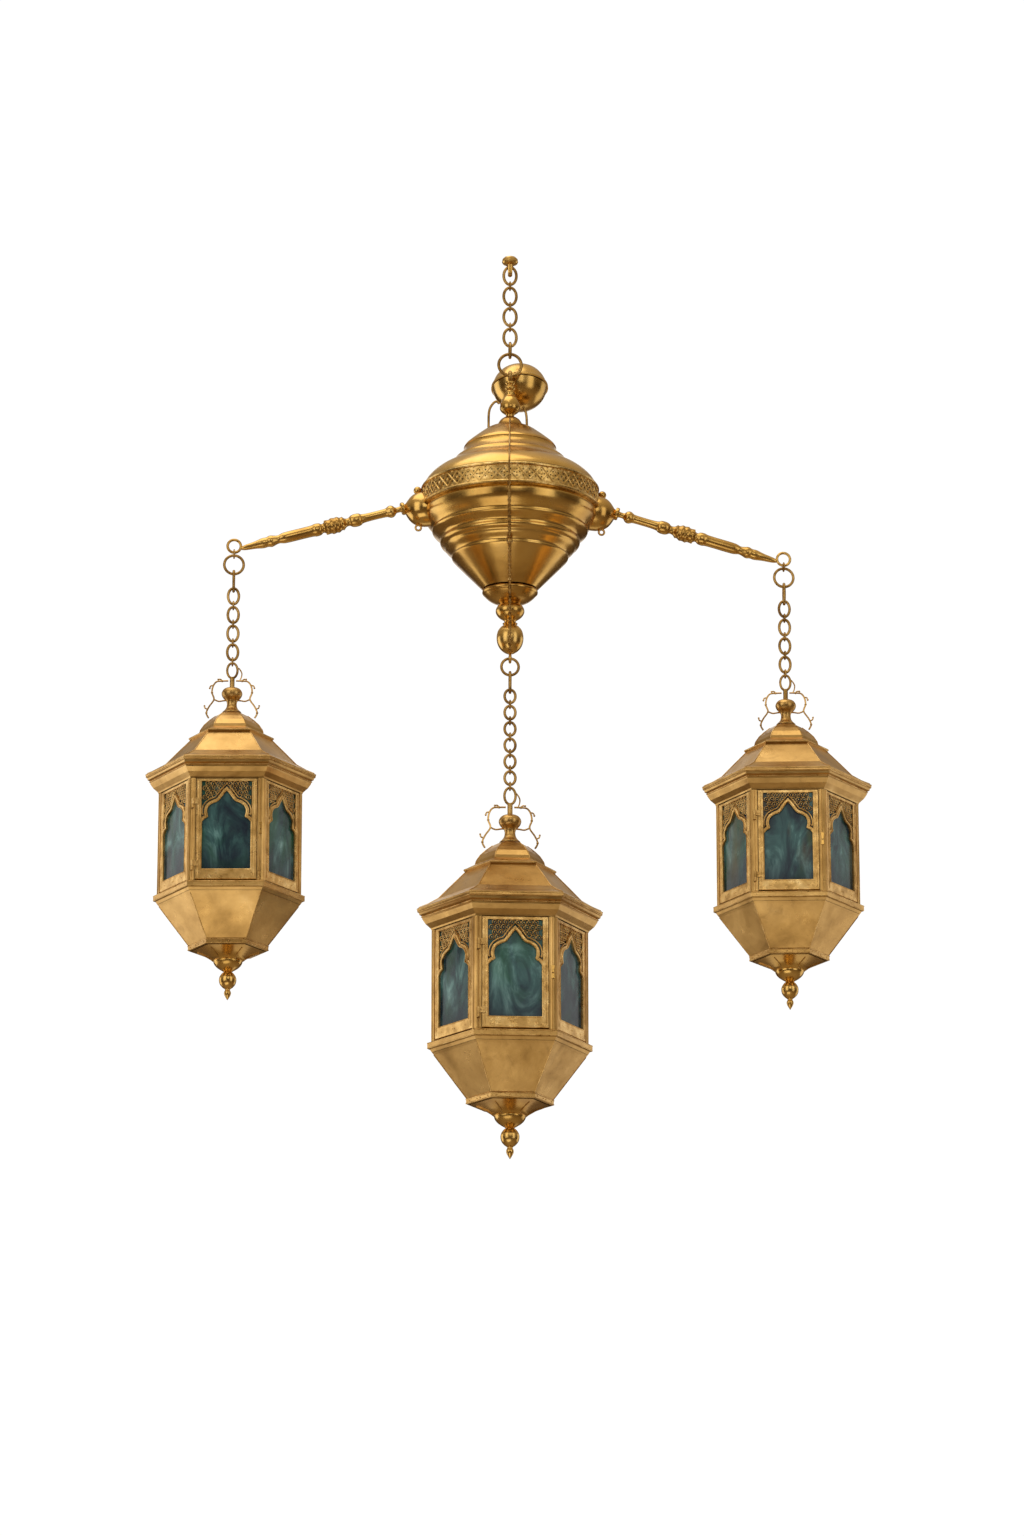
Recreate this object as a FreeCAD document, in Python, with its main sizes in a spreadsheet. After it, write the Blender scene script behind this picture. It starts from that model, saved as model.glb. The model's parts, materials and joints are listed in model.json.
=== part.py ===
import FreeCAD, Part
import math
import os

import Sketcher

# Brass chandelier: a spun double-cone body on a chain, two turned arms and three hexagonal
# lanterns on chains.  Millimetres, +Z up, the top face of the ceiling stud at the origin,
# X along the arms, the front towards -Y.

os.makedirs("parts", exist_ok=True)
doc = FreeCAD.newDocument("hanging_lantern")
V = FreeCAD.Vector
SQUARE = 90.0
HEX_STEP = 60.0
HEX_COS = math.cos(math.radians(HEX_STEP / 2))

# ----------------------------------------------------------------------------- driving sizes
DIMENSIONS = [
    ("sheet_wall", 1.6, "wall of spun and folded sheet"),
    ("fit", 0.05, "radial clearance of a turning fit"),
    ("stud_radius", 12.5, "ceiling stud head"),
    ("stud_height", 32.0, "ceiling stud, head to point"),
    ("stud_bore", 3.0, "threaded hole in the stud head"),
    ("top_link_height", 33.0, "outer height of a top chain link"),
    ("top_link_width", 24.0, "outer width of a top chain link"),
    ("chain_wire", 4.5, "wire of the top chain"),
    ("top_chain_start", 13.2, "top of the first link below the ceiling"),
    ("link_pitch_gap", 0.6, "space between two oval links in a joining ring"),
    ("crown_ring_radius", 17.4, "crown ring, to the wire centre"),
    ("crown_ring_depth", 175.0, "crown ring centre below the ceiling"),
    ("ring_wire", 4.8, "wire of the crown ring and hook rings"),
    ("stem_top", 203.0, "top of the crown stem below the ceiling"),
    ("stem_height", 73.5, "crown stem, column to dome foot"),
    ("knob_radius", 15.9, "bell knob of the crown stem"),
    ("shank_radius", 4.0, "turning shank of the stem eye"),
    ("ball_radius", 44.0, "hooded ball"),
    ("ball_depth", 193.0, "hooded ball centre below the ceiling"),
    ("cap_top", 277.0, "top of the body cap below the ceiling"),
    ("band_radius", 134.0, "pierced band, outside"),
    ("band_top", 375.6, "upper edge of the band below the ceiling"),
    ("band_height", 33.0, "height of the pierced band"),
    ("body_height", 261.0, "body, cap top to lower cone foot"),
    ("body_finial_top", 536.5, "top of the body finial below the ceiling"),
    ("body_finial_height", 101.5, "body finial, collar to ball foot"),
    ("boss_radius", 27.0, "arm boss"),
    ("boss_length", 44.0, "arm boss, body to neck"),
    ("boss_depth", 411.0, "boss centre below the ceiling"),
    ("arm_start", 163.6, "arm neck from the body axis"),
    ("arm_reach", 418.0, "lantern axis from the body axis"),
    ("arm_length", 255.6, "turned arm along its slope"),
    ("arm_radius", 12.8, "largest radius of the arm"),
    ("arm_ring_radius", 10.0, "ring at the arm tip, to the wire centre"),
    ("arm_ring_depth", 477.0, "arm tip ring below the ceiling"),
    ("side_hook_depth", 506.4, "side hook ring centre below the ceiling"),
    ("side_hook_radius", 14.6, "side hook ring, to the wire centre"),
    ("centre_hook_depth", 657.4, "centre hook ring centre below the ceiling"),
    ("centre_hook_radius", 13.0, "centre hook ring, to the wire centre"),
    ("thin_wire", 4.2, "wire of the lantern chains"),
    ("edge_link_height", 36.0, "outer height of the edge-on link"),
    ("side_link_height", 28.8, "outer height of a side chain link"),
    ("centre_link_height", 24.9, "outer height of a centre chain link"),
    ("link_width", 20.4, "outer width of a lantern chain link"),
    ("joiner_wire", 2.6, "wire of a small joining ring"),
    ("side_drop", 688.9, "side lantern datum below the ceiling"),
    ("centre_drop", 876.4, "centre lantern datum below the ceiling"),
    ("side_size", 1.0, "size factor of the side lanterns"),
    ("centre_size", 1.09, "size factor of the centre lantern"),
    ("loop_height", 27.0, "outer height of the hanger loop"),
    ("loop_width", 19.0, "outer width of the hanger loop"),
    ("loop_wire", 3.6, "wire of the hanger loop"),
    ("pin_radius", 3.6, "hanger pin"),
    ("finial_radius", 15.7, "mushroom knob on the lantern"),
    ("eave_radius", 127.0, "lantern eave, corner to axis"),
    ("lantern_height", 490.5, "lantern datum to the tip"),
    ("scroll_wire", 1.25, "radius of the wire scrolls"),
    ("post_circle", 101.0, "circle through the six posts"),
    ("post_radius", 5.5, "radius of a post"),
    ("panel_half", 45.0, "half width of a window panel"),
    ("window_half", 36.6, "half width of a window opening"),
    ("panel_thick", 3.0, "thickness of a window panel"),
    ("panel_apothem", 89.5, "back of a fixed panel from the axis"),
    ("door_apothem", 90.2, "back of the door from the axis"),
    ("pane_thick", 2.6, "thickness of a glass pane"),
    ("hinge_half", 49.5, "door hinge axis, across"),
    ("hinge_front", 95.7, "door hinge axis, forward"),
    ("knuckle_radius", 2.2, "outer radius of a hinge knuckle"),
    ("hinge_pin", 1.2, "radius of a hinge pin"),
    ("latch_length", 18.0, "turn button"),
    ("foot_radius", 20.7, "round collar under the lantern"),
    ("candle_radius", 11.0, "candle"),
    ("candle_height", 75.0, "candle"),
    ("chain_bead", 1.25, "wire radius of the front chain"),
]

sheet = doc.addObject("Spreadsheet::Sheet", "Dims")
for row, (alias, number, meaning) in enumerate(DIMENSIONS, 1):
    sheet.set("A%d" % row, meaning)
    sheet.set("B%d" % row, str(number))
    sheet.setAlias("B%d" % row, alias)
doc.recompute()
NOMINAL = {alias: number for alias, number, meaning in DIMENSIONS}
NODES = {}


# ----------------------------------------------------------------------------- fixed shapes
# Degrees, and lantern heights measured from the lantern's own datum, which is at its knob.
ARM_DROOP = 15.9
PANEL_TOP = -176.5
PANEL_FOOT = -329.0
HINGE_FEET = (-316.0, -222.0)
# Corner radius and height of each fold of the roof, from the dome down to the cornice.
ROOF = [(15.5, -50.8), (24, -55), (33.5, -62), (41, -69), (46.4, -77), (47.6, -81.5),
        (60.5, -88.2), (63, -89), (63.4, -91.6), (61.4, -93.4), (80, -112), (98, -130.5),
        (112, -138.5), (124.6, -143.8), (127, -145.4), (127, -149.2), (124.6, -151),
        (124, -154.4), (120.6, -156.2), (119.8, -160.6), (115.4, -167), (108.6, -173),
        (107.6, -175.2)]
# Right half of the lobed arch: across and down from the panel top, in half window widths.
ARCH = [(0.0, 0.48), (0.16, 0.66), (0.33, 0.90), (0.40, 0.95), (0.60, 1.02), (0.76, 1.18),
        (0.80, 1.40), (0.76, 1.60), (0.88, 1.63), (1.0, 1.79)]
# Piercings of the right spandrel: across, down and radius, in half window widths.
PIERCINGS = [(0.20, 0.26, 0.085), (0.42, 0.26, 0.095), (0.66, 0.27, 0.105), (0.90, 0.27, 0.10),
             (0.35, 0.56, 0.095), (0.60, 0.60, 0.115), (0.88, 0.60, 0.12), (0.76, 0.87, 0.09),
             (0.95, 0.93, 0.09), (0.95, 1.20, 0.085), (0.95, 1.44, 0.07)]
# How far one chain link reaches into the next: two wires and their play, or one and its play.
LINK_GRIP = 8.7
HOOK_GRIP = 4.5


# ----------------------------------------------------------------------------- small helpers
def share(driver, amount, size=None, wall=0.0):
    """A length written at nominal size, bound as a share of its driver: (number, expression)."""
    text = "Dims.%s * %.6g" % (driver, amount / NOMINAL[driver])
    number = amount
    if size:
        text += " * Dims." + size
        number *= NOMINAL[size]
    if wall:
        text += " + Dims.sheet_wall * %.6g" % wall
        number += NOMINAL["sheet_wall"] * wall
    return number, text


def total(*lengths):
    """The sum of several bound lengths."""
    return sum(length[0] for length in lengths), " + ".join(length[1] for length in lengths)


def times(length, count):
    """A bound length taken several times, which may be a fraction or negative."""
    return length[0] * count, "(%s) * %g" % (length[1], count)


def bind(thing, prop, length):
    """Tie a property to the sheet."""
    thing.setExpression(prop, length[1])


def turn(axis, degrees):
    """A rotation about one axis."""
    return FreeCAD.Rotation(axis, degrees)


def node(thing, name):
    """Name a finished sub-part."""
    thing.Label = name
    NODES[name] = thing
    return thing


def place(thing, across=None, along=None, up=None, rotation=None):
    """Turn a thing, then tie its position to the sheet."""
    thing.Placement = FreeCAD.Placement(V(), rotation or FreeCAD.Rotation())
    for letter, length in (("x", across), ("y", along), ("z", up)):
        if length:
            bind(thing, "Placement.Base." + letter, length)
    return thing


def lowered(driver, amount=0.0, size=None):
    """A depth below the ceiling given by one driver, with an offset that follows the size."""
    text = "Dims.%s * -1" % driver
    if amount:
        text += " + %.6g" % amount
        if size:
            text += " * Dims." + size
    return -NOMINAL[driver] + amount * (NOMINAL[size] if size else 1), text


def origin_plane(body, role):
    """One of the three origin planes of a body."""
    return [plane for plane in body.Origin.OriginFeatures if plane.Role == role][0]


def flat_sketch(body, role):
    """A sketch on one of a body's own origin planes."""
    sketch = body.newObject("Sketcher::SketchObject", body.Name + "_sketch")
    sketch.AttachmentSupport = (origin_plane(body, role), [""])
    sketch.MapMode = "FlatFace"
    return sketch


def draw_loop(sketch, points):
    """Add a closed outline; every corner is tied to the sheet."""
    start = sketch.GeometryCount
    count = len(points)
    lines = []
    for i, (across, up) in enumerate(points):
        next_across, next_up = points[(i + 1) % count]
        lines.append(Part.LineSegment(V(across[0], up[0], 0), V(next_across[0], next_up[0], 0)))
    sketch.addGeometry(lines, False)
    rules = []
    names = []
    for i, (across, up) in enumerate(points):
        rules.append(Sketcher.Constraint("Coincident", start + (i - 1) % count, 2, start + i, 1))
        names.append(None)
        for kind, axis, length in (("DistanceX", -2, across), ("DistanceY", -1, up)):
            if abs(length[0]) < 1e-9:
                rules.append(Sketcher.Constraint("PointOnObject", start + i, 1, axis))
                names.append(None)
            else:
                rules.append(Sketcher.Constraint(kind, -1, 1, start + i, 1, length[0]))
                names.append(("%s%d" % (kind, start + i), length[1]))
    first = sketch.ConstraintCount
    sketch.addConstraint(rules)
    for offset, named in enumerate(names):
        if named:
            sketch.renameConstraint(first + offset, named[0])
            sketch.setExpression("Constraints." + named[0], named[1])


def draw_hole(sketch, across, up, radius):
    """Add a round hole whose centre and radius follow the sheet."""
    at = sketch.GeometryCount
    circle = Part.Circle(V(across[0], up[0], 0), V(0, 0, 1), radius[0])
    sketch.addGeometry(circle, False)
    lengths = (("DistanceX", across), ("DistanceY", up))
    for kind, length in lengths:
        index = sketch.addConstraint(Sketcher.Constraint(kind, -1, 1, at, 3, length[0]))
        sketch.renameConstraint(index, "%s%d" % (kind, at))
        sketch.setExpression("Constraints.%s%d" % (kind, at), length[1])
    index = sketch.addConstraint(Sketcher.Constraint("Radius", at, radius[0]))
    sketch.renameConstraint(index, "Radius%d" % at)
    sketch.setExpression("Constraints.Radius%d" % at, radius[1])


def turned(name, outline, across, along, size=None):
    """A turned solid: (radius, height) corners spun about the body's own Z axis."""
    body = doc.addObject("PartDesign::Body", name)
    sketch = flat_sketch(body, "XZ_Plane")
    corners = []
    for corner in outline:
        wall = corner[2] if len(corner) > 2 else (0.0, 0.0)
        corners.append((share(across, corner[0], size, wall[0]),
                        share(along, corner[1], size, wall[1])))
    draw_loop(sketch, corners)
    spin = body.newObject("PartDesign::Revolution", name + "_spin")
    spin.Profile = sketch
    spin.ReferenceAxis = (sketch, ["V_Axis"])
    spin.Angle = 360.0
    sketch.Visibility = False
    return body


def sheet_profile(outer):
    """Close an outer profile into a wall: each corner again, moved inward by one wall."""
    inner = []
    for i, (radius, height) in enumerate(outer):
        before = outer[max(i - 1, 0)]
        after = outer[min(i + 1, len(outer) - 1)]
        slopes = []
        for a, b in ((before, (radius, height)), ((radius, height), after)):
            length = math.hypot(b[0] - a[0], b[1] - a[1])
            if length > 0:
                slopes.append(((b[1] - a[1]) / length, (a[0] - b[0]) / length))
        across = sum(slope[0] for slope in slopes)
        up = sum(slope[1] for slope in slopes)
        squared = across * across + up * up
        stretch = min(2.0 / squared, 1.25) if len(slopes) > 1 else 1.0
        inner.append((radius, height, (across * stretch, up * stretch)))
    return list(outer) + inner[::-1]


def spun_sheet(name, outer, across, along):
    """A spun shell: its outer profile, top to bottom, with one wall of sheet behind it."""
    return turned(name, sheet_profile(outer), across, along)


def ring(name, radius, wire, rotation=None, across=None, along=None, up=None):
    """A wire ring; its own axis is Z before it is turned."""
    torus = doc.addObject("Part::Torus", name)
    bind(torus, "Radius1", radius)
    bind(torus, "Radius2", times(wire, 0.5))
    return place(torus, across, along, up, rotation)


def rod(name, radius, height, rotation=None, across=None, along=None, up=None):
    """A plain round bar."""
    bar = doc.addObject("Part::Cylinder", name)
    bind(bar, "Radius", radius)
    bind(bar, "Height", height)
    return place(bar, across, along, up, rotation)


def block(name, size_x, size_y, size_z, across, along, up, rotation=None):
    """A rectangular block with its low corner at the given place."""
    box = doc.addObject("Part::Box", name)
    bind(box, "Length", size_x)
    bind(box, "Width", size_y)
    bind(box, "Height", size_z)
    return place(box, across, along, up, rotation)


def ball(name, radius, across=None, along=None, up=None):
    """A full sphere."""
    sphere = doc.addObject("Part::Sphere", name)
    bind(sphere, "Radius", radius)
    return place(sphere, across, along, up)


def joined(name, pieces):
    """Fuse pieces into one solid."""
    fused = doc.addObject("Part::MultiFuse", name)
    fused.Shapes = pieces
    return fused


def minus(name, base, tool):
    """Cut one piece out of another."""
    cut = doc.addObject("Part::Cut", name)
    cut.Base = base
    cut.Tool = tool
    return cut


def group(name, pieces):
    """Several separate solids that share one node."""
    bundle = doc.addObject("Part::Compound", name)
    bundle.Links = pieces
    return bundle


def oval_link(name, height, width, wire, centre_up, across=None, yaw=0.0):
    """An oval link standing up: outer height and width; yaw 0 faces -Y, yaw 90 is edge-on."""
    spine = doc.addObject("Part::Ellipse", name + "_spine")
    thinner = times(wire, -1)
    bind(spine, "MajorRadius", times(total(height, thinner), 0.5))
    bind(spine, "MinorRadius", times(total(width, thinner), 0.5))
    section = doc.addObject("Part::Circle", name + "_wire")
    bind(section, "Radius", times(wire, 0.5))
    section.Placement = FreeCAD.Placement(V(), turn(V(1, 0, 0), SQUARE))
    section.setExpression("Placement.Base.x", "%s.MajorRadius" % spine.Name)
    link = doc.addObject("Part::Sweep", name)
    link.Sections = [section]
    link.Spine = (spine, ["Edge1"])
    link.Solid = True
    link.Frenet = True
    upright = turn(V(1, 0, 0), SQUARE).multiply(turn(V(0, 0, 1), SQUARE))
    return place(link, across, None, centre_up, turn(V(0, 0, 1), yaw).multiply(upright))


def wire_run(name, points, radius, role="XZ_Plane"):
    """A bent wire: a round section along a smooth curve through a few points of one plane."""
    path = doc.addObject("Sketcher::SketchObject", name + "_path")
    curve = Part.BSplineCurve()
    curve.interpolate([V(across, up, 0) for across, up in points])
    path.addGeometry(curve, False)
    path.Placement = FreeCAD.Placement(V(), turn(V(1, 0, 0), SQUARE))
    lead = curve.tangent(curve.FirstParameter)[0]
    section = doc.addObject("Part::Circle", name + "_section")
    bind(section, "Radius", radius)
    facing = FreeCAD.Rotation(V(0, 0, 1), V(lead.x, 0, lead.y))
    section.Placement = FreeCAD.Placement(V(points[0][0], 0, points[0][1]), facing)
    run = doc.addObject("Part::Sweep", name)
    run.Sections = [section]
    run.Spine = (path, ["Edge1"])
    run.Solid = True
    run.Frenet = False
    return run


def hex_loft(name, levels, size):
    """A six-sided solid through (corner radius, height, wall offsets) levels, corners on X."""
    sections = []
    for level in levels:
        wall = level[2] if len(level) > 2 else (0.0, 0.0)
        polygon = doc.addObject("Part::RegularPolygon", name + "_level")
        polygon.Polygon = 6
        bind(polygon, "Circumradius", share("eave_radius", level[0], size, wall[0] / HEX_COS))
        bind(polygon, "Placement.Base.z", share("lantern_height", level[1], size, wall[1]))
        sections.append(polygon)
    loft = doc.addObject("Part::Loft", name)
    loft.Sections = sections
    loft.Solid = True
    loft.Ruled = True
    return loft


def hex_sheet(name, outer, size):
    """A folded hexagonal shell: outer levels from top to bottom, one wall thick, ends open."""
    profile = sheet_profile(outer)
    inner = profile[len(outer):][::-1]
    inner[0] = (inner[0][0], outer[0][1] + 1.0, (inner[0][2][0], 0.0))
    inner[-1] = (inner[-1][0], outer[-1][1] - 1.0, (inner[-1][2][0], 0.0))
    return minus(name, hex_loft(name + "_outside", outer, size),
                 hex_loft(name + "_inside", inner, size))


# ----------------------------------------------------------------------------- ceiling stud
def ceiling_stud():
    outline = [(0, 0), (9, 0), (11.8, -3), (12.5, -7.5), (11, -10), (6.2, -12.5), (6, -26),
               (4, -29.5), (0, -32)]
    body = turned("stud_body", outline, "stud_radius", "stud_height")
    hole = rod("stud_hole", share("stud_bore", 3.0), share("stud_height", 10.0),
               up=share("stud_height", -10.0))
    eye_height = share("top_chain_start", 7.4)
    slot = block("stud_slot", share("stud_radius", 30), share("chain_wire", 5.1), eye_height,
                 share("stud_radius", -15), share("chain_wire", -2.55),
                 share("top_chain_start", -20.2))
    flats = []
    for side, start in (("left", -13.2), ("right", 3.2)):
        flats.append(block("stud_flat_" + side, share("stud_radius", 10),
                           share("stud_radius", 30), share("stud_height", 22),
                           share("stud_radius", start), share("stud_radius", -15),
                           share("stud_height", -34)))
    tools = joined("stud_tools", [hole, slot] + flats)
    node(minus("stud", body, tools), "ceiling_stud")


# ----------------------------------------------------------------------------- chains
def link_pitch(height):
    """Distance from one oval link to the next."""
    return total(height, share("link_pitch_gap", 0.6))


def face_links(tag, count, height, width, wire, start, across=None):
    """Oval links one below another; start is the height of the first link's top."""
    pieces = []
    for i in range(count):
        centre = total(start, times(link_pitch(height), -i), times(height, -0.5))
        pieces.append(oval_link("%s_link%d" % (tag, i), height, width, wire, centre, across))
    return pieces


def joiners(tag, count, height, wire, start, across=None):
    """The small edge-on ring below each oval link."""
    pieces = []
    radius = total(wire, share("joiner_wire", 1.3), share("link_pitch_gap", 0.5))
    for i in range(1, count + 1):
        centre = total(start, times(link_pitch(height), -i), share("link_pitch_gap", 0.3))
        pieces.append(ring("%s_joiner%d" % (tag, i), radius, share("joiner_wire", 2.6),
                           turn(V(0, 1, 0), SQUARE), across, None, centre))
    return pieces


def top_chain():
    height = share("top_link_height", 33.0)
    width = share("top_link_width", 24.0)
    wire = share("chain_wire", 4.5)
    start = lowered("top_chain_start")
    links = face_links("top", 4, height, width, wire, start)
    small = joiners("top", 3, height, wire, start)
    end = oval_link("top_end", share("top_link_height", 27.4), share("top_link_width", 20.0),
                    wire, lowered("crown_ring_depth", 23.6), yaw=SQUARE)
    node(group("top_links", links + small + [end]), "top_chain")


def crown_ring():
    loop = ring("crown_loop", share("crown_ring_radius", 17.4), share("ring_wire", 4.8),
                turn(V(1, 0, 0), SQUARE), up=lowered("crown_ring_depth"))
    node(loop, "crown_ring")


def stem_eye():
    eye = ring("eye_loop", share("crown_ring_radius", 6.2), share("ring_wire", 5.2),
               turn(V(0, 1, 0), SQUARE), up=lowered("stem_top", 9.7))
    shank = rod("eye_shank", share("shank_radius", 4.0), share("stem_height", 66.5),
                up=lowered("stem_top", -65.5))
    head = rod("eye_head", share("shank_radius", 7.0), share("stem_height", 4.0),
               up=lowered("stem_top", -66.5))
    node(joined("eye_bolt", [eye, shank, head]), "stem_eye")


# ----------------------------------------------------------------------------- carrier body
def crown_stem():
    bore = NOMINAL["shank_radius"] + NOMINAL["fit"]
    outline = [(bore, 0), (7.4, 0), (7.8, -3), (5.6, -5), (5.6, -6.5), (8.2, -8.5), (8.2, -12),
               (5.8, -14), (7.2, -18), (6.4, -22), (8.6, -24), (11.5, -27), (14.2, -33),
               (15.9, -41), (15.2, -46), (10.5, -50.5), (6.2, -53), (6.2, -56.4), (9.2, -57.6),
               (14.6, -61.2), (18.4, -67), (19.8, -73.5), (9.5, -73.5), (9.5, -60.5),
               (bore, -60.5)]
    stem = turned("stem_column", outline, "knob_radius", "stem_height")
    place(stem, up=lowered("stem_top"))
    node(stem, "crown_stem")


def bail_wires():
    wire = share("chain_wire", 1.9)
    left = wire_run("bail_left", [(-33, 0), (-32.5, 22), (-28, 36), (-20.5, 42), (-17, 38.5)], wire)
    place(left, up=lowered("cap_top", 0.2))
    right = wire_run("bail_right", [(26, 0), (25.5, 14), (24, 25), (20, 34)], wire)
    place(right, up=lowered("cap_top", 1.2))
    node(group("bails", [left, right]), "bail_wires")


def ball_pieces():
    tilt = turn(V(1, 0, 0), -12.0)
    where = (share("ball_radius", 19.0), share("ball_radius", 53.0), lowered("ball_depth"))
    bowl_outer = [(0, -37), (9, -36.2), (20, -32.4), (31, -24.4), (38.6, -14), (42.2, -2.2)]
    hood = [(0, 37), (10, 36), (21, 32.2), (31, 25.2), (38.4, 15), (42.4, 4), (44, 2.5),
            (44, -1.5)]
    lower = turned("ball_lower", closed_shell(bowl_outer), "ball_radius", "ball_radius")
    upper = turned("ball_upper", closed_shell(hood), "ball_radius", "ball_radius")
    place(lower, where[0], where[1], where[2], tilt)
    place(upper, where[0], where[1], where[2], tilt)
    strut = rod("ball_strut", share("shank_radius", 3.0), share("ball_radius", 18.5),
                turn(V(-53.0, 19.0, 0), SQUARE), share("ball_radius", 2.85),
                share("ball_radius", 7.95), lowered("ball_depth", -23.0))
    node(joined("ball_with_strut", [lower, strut]), "ball_bowl")
    node(upper, "ball_hood")


def closed_shell(outer):
    """A profile that starts on the axis, with one wall of sheet behind it."""
    profile = sheet_profile(outer)
    count = len(outer)
    first_inner = profile[-1]
    profile[-1] = (0, outer[0][1], (0.0, first_inner[2][1]))
    return profile[:count] + profile[count:]


def body_shells():
    """The spun sheets of the double cone; heights are measured down from the cap top."""
    cap = [(9.9, 0), (30, -1), (36, -3.5), (50, -14), (61, -23), (69, -30), (70.6, -33.5)]
    upper = [(64.5, -34), (72, -41.5), (80.5, -50), (84.5, -52.5), (85.6, -56), (92.5, -62),
             (99.5, -66.5), (103, -68), (112.5, -73.5), (121.5, -81), (129, -89.5), (131.6, -97)]
    lower = [(129.5, -132.8), (131.6, -136.5), (131, -141), (129.8, -147), (126.2, -153.5),
             (119.6, -161), (117.8, -164.2), (118.6, -167), (116.6, -169.8), (111, -173.8),
             (105.8, -178), (105.2, -181.5), (106.6, -184.6), (104.6, -188.6), (99.6, -191.6),
             (97.8, -196), (90.2, -202.6), (88, -206), (88.8, -208.8), (85.8, -212.4),
             (72.8, -226), (41.5, -258.5)]
    for name, outer in (("body_cap", cap), ("upper_shell", upper), ("lower_shell", lower)):
        shell = spun_sheet(name + "_spun", outer, "band_radius", "body_height")
        place(shell, up=lowered("cap_top"))
        node(shell, name)


def pierced_band():
    """The pierced band with a bead along each edge and a row of openings cut by a pattern."""
    band = turned("band", [(131.4, -1.2), (132.4, 0), (134.6, -0.4), (135.2, -2.6), (134, -4.2),
                           (134, -27.6), (135, -29), (135.6, -31.4), (134.6, -33),
                           (132.6, -33), (131.4, -31.6)], "band_radius", "band_height")
    sketch = flat_sketch(band, "XZ_Plane")
    middle = -16.0
    lozenge = [(0.0, 5.5), (3.2, 0.0), (0.0, -5.5), (-3.2, 0.0)]
    corners = []
    for across, up in lozenge:
        corners.append((share("band_radius", across), share("band_height", middle + up)))
    draw_loop(sketch, corners)
    pocket = band.newObject("PartDesign::Pocket", "band_opening")
    pocket.Profile = sketch
    pocket.Type = 1
    pattern = band.newObject("PartDesign::PolarPattern", "band_openings")
    pattern.Originals = [pocket]
    pattern.Axis = (sketch, ["V_Axis"])
    pattern.Angle = 360.0
    pattern.Occurrences = 36
    band.Tip = pattern
    place(band, up=lowered("band_top"))
    node(band, "pierced_band")


def body_finial():
    outline = [(0, 0), (40, 0), (42.2, -2.5), (42.2, -5.5), (39.5, -8), (37.8, -10),
               (32, -15.5), (24, -19.5), (17.5, -21.5), (15.5, -23.5), (19.5, -26), (22, -31.5),
               (21.6, -37), (17, -43.5), (10, -47.6), (8, -50.5), (11.5, -53.2), (9, -55.4),
               (14, -58.2), (19, -65), (20.8, -75.5), (19, -86.5), (13.5, -95), (6, -100),
               (0, -101.5)]
    turning = turned("finial_turning", outline, "band_radius", "body_finial_height")
    place(turning, up=lowered("body_finial_top"))
    eye = ring("finial_eye", share("centre_hook_radius", 5.4), share("ring_wire", 4.2),
               turn(V(0, 1, 0), SQUARE), up=lowered("centre_hook_depth", 12.9))
    node(joined("finial", [turning, eye]), "body_finial")


def tie_rod():
    bar = rod("tie_bar", share("shank_radius", 4.0), share("body_height", 250.0),
              up=lowered("body_finial_top"))
    nut = rod("tie_nut", share("shank_radius", 9.0), share("body_height", 6.0),
              up=lowered("body_finial_top", 243.5))
    node(joined("tie", [bar, nut]), "tie_rod")


# ----------------------------------------------------------------------------- arms
def boss(side, direction):
    """The round boss on the band, with a bead on top and a small curl underneath."""
    outline = [(0, -14), (25.6, -14), (26.6, -8), (27, 2), (25.6, 9), (22.6, 15.4),
               (18.2, 20.4), (13, 24.2), (9, 26.6), (7, 28.4), (6.4, 30.4), (0, 30.4)]
    dome = turned(side + "_boss_dome", outline, "boss_radius", "boss_length")
    place(dome, share("band_radius", direction * 132.0), None, lowered("boss_depth"),
          turn(V(0, 1, 0), direction * SQUARE))
    bead = ball(side + "_boss_bead", share("boss_radius", 6.2),
                share("band_radius", direction * 141.0), None, lowered("boss_depth", 29.5))
    curl = ring(side + "_boss_curl", share("boss_radius", 4.2), share("boss_radius", 3.2),
                turn(V(1, 0, 0), SQUARE), share("band_radius", direction * 139.6), None,
                lowered("boss_depth", -29.8))
    hollow = rod(side + "_boss_seat", share("band_radius", 135.9), share("band_height", 120.0),
                 up=lowered("boss_depth", -60.0))
    whole = joined(side + "_boss_whole", [dome, bead, curl])
    return minus(side + "_boss_cut", whole, hollow)


def arm(side, direction):
    """The turned arm with its ring, drooping away from the boss."""
    outline = [(0, 0), (5.4, 0), (4.2, 5), (4.2, 11), (8.4, 14), (9.9, 19), (7.6, 24),
               (6.3, 26), (6.3, 64), (9.6, 67), (10.2, 75), (8.8, 81), (5.8, 84), (6.4, 90),
               (10.6, 94), (9.4, 97), (12.8, 102), (11.2, 105.5), (12.8, 110), (10.4, 114.5),
               (11.6, 119), (7, 124), (7, 127), (9.6, 130), (10, 138), (8.4, 141), (8.7, 184),
               (7.6, 190), (6, 195), (7.4, 201), (9.4, 207), (7.2, 213), (8.3, 219), (5.6, 231),
               (4.4, 246), (2.6, 253.5), (0, 255.6)]
    bar = turned(side + "_arm_bar", outline, "arm_radius", "arm_length")
    tilt = turn(V(0, 1, 0), direction * (SQUARE + ARM_DROOP))
    place(bar, share("arm_start", direction * 163.6), None, lowered("boss_depth", 0.0), tilt)
    tip = ring(side + "_arm_ring", share("arm_ring_radius", 10.0), share("thin_wire", 4.2),
               turn(V(1, 0, 0), SQUARE), share("arm_reach", direction * 418.0), None,
               lowered("arm_ring_depth"))
    node(joined(side + "_arm_whole", [bar, tip]), side + "_arm")


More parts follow.
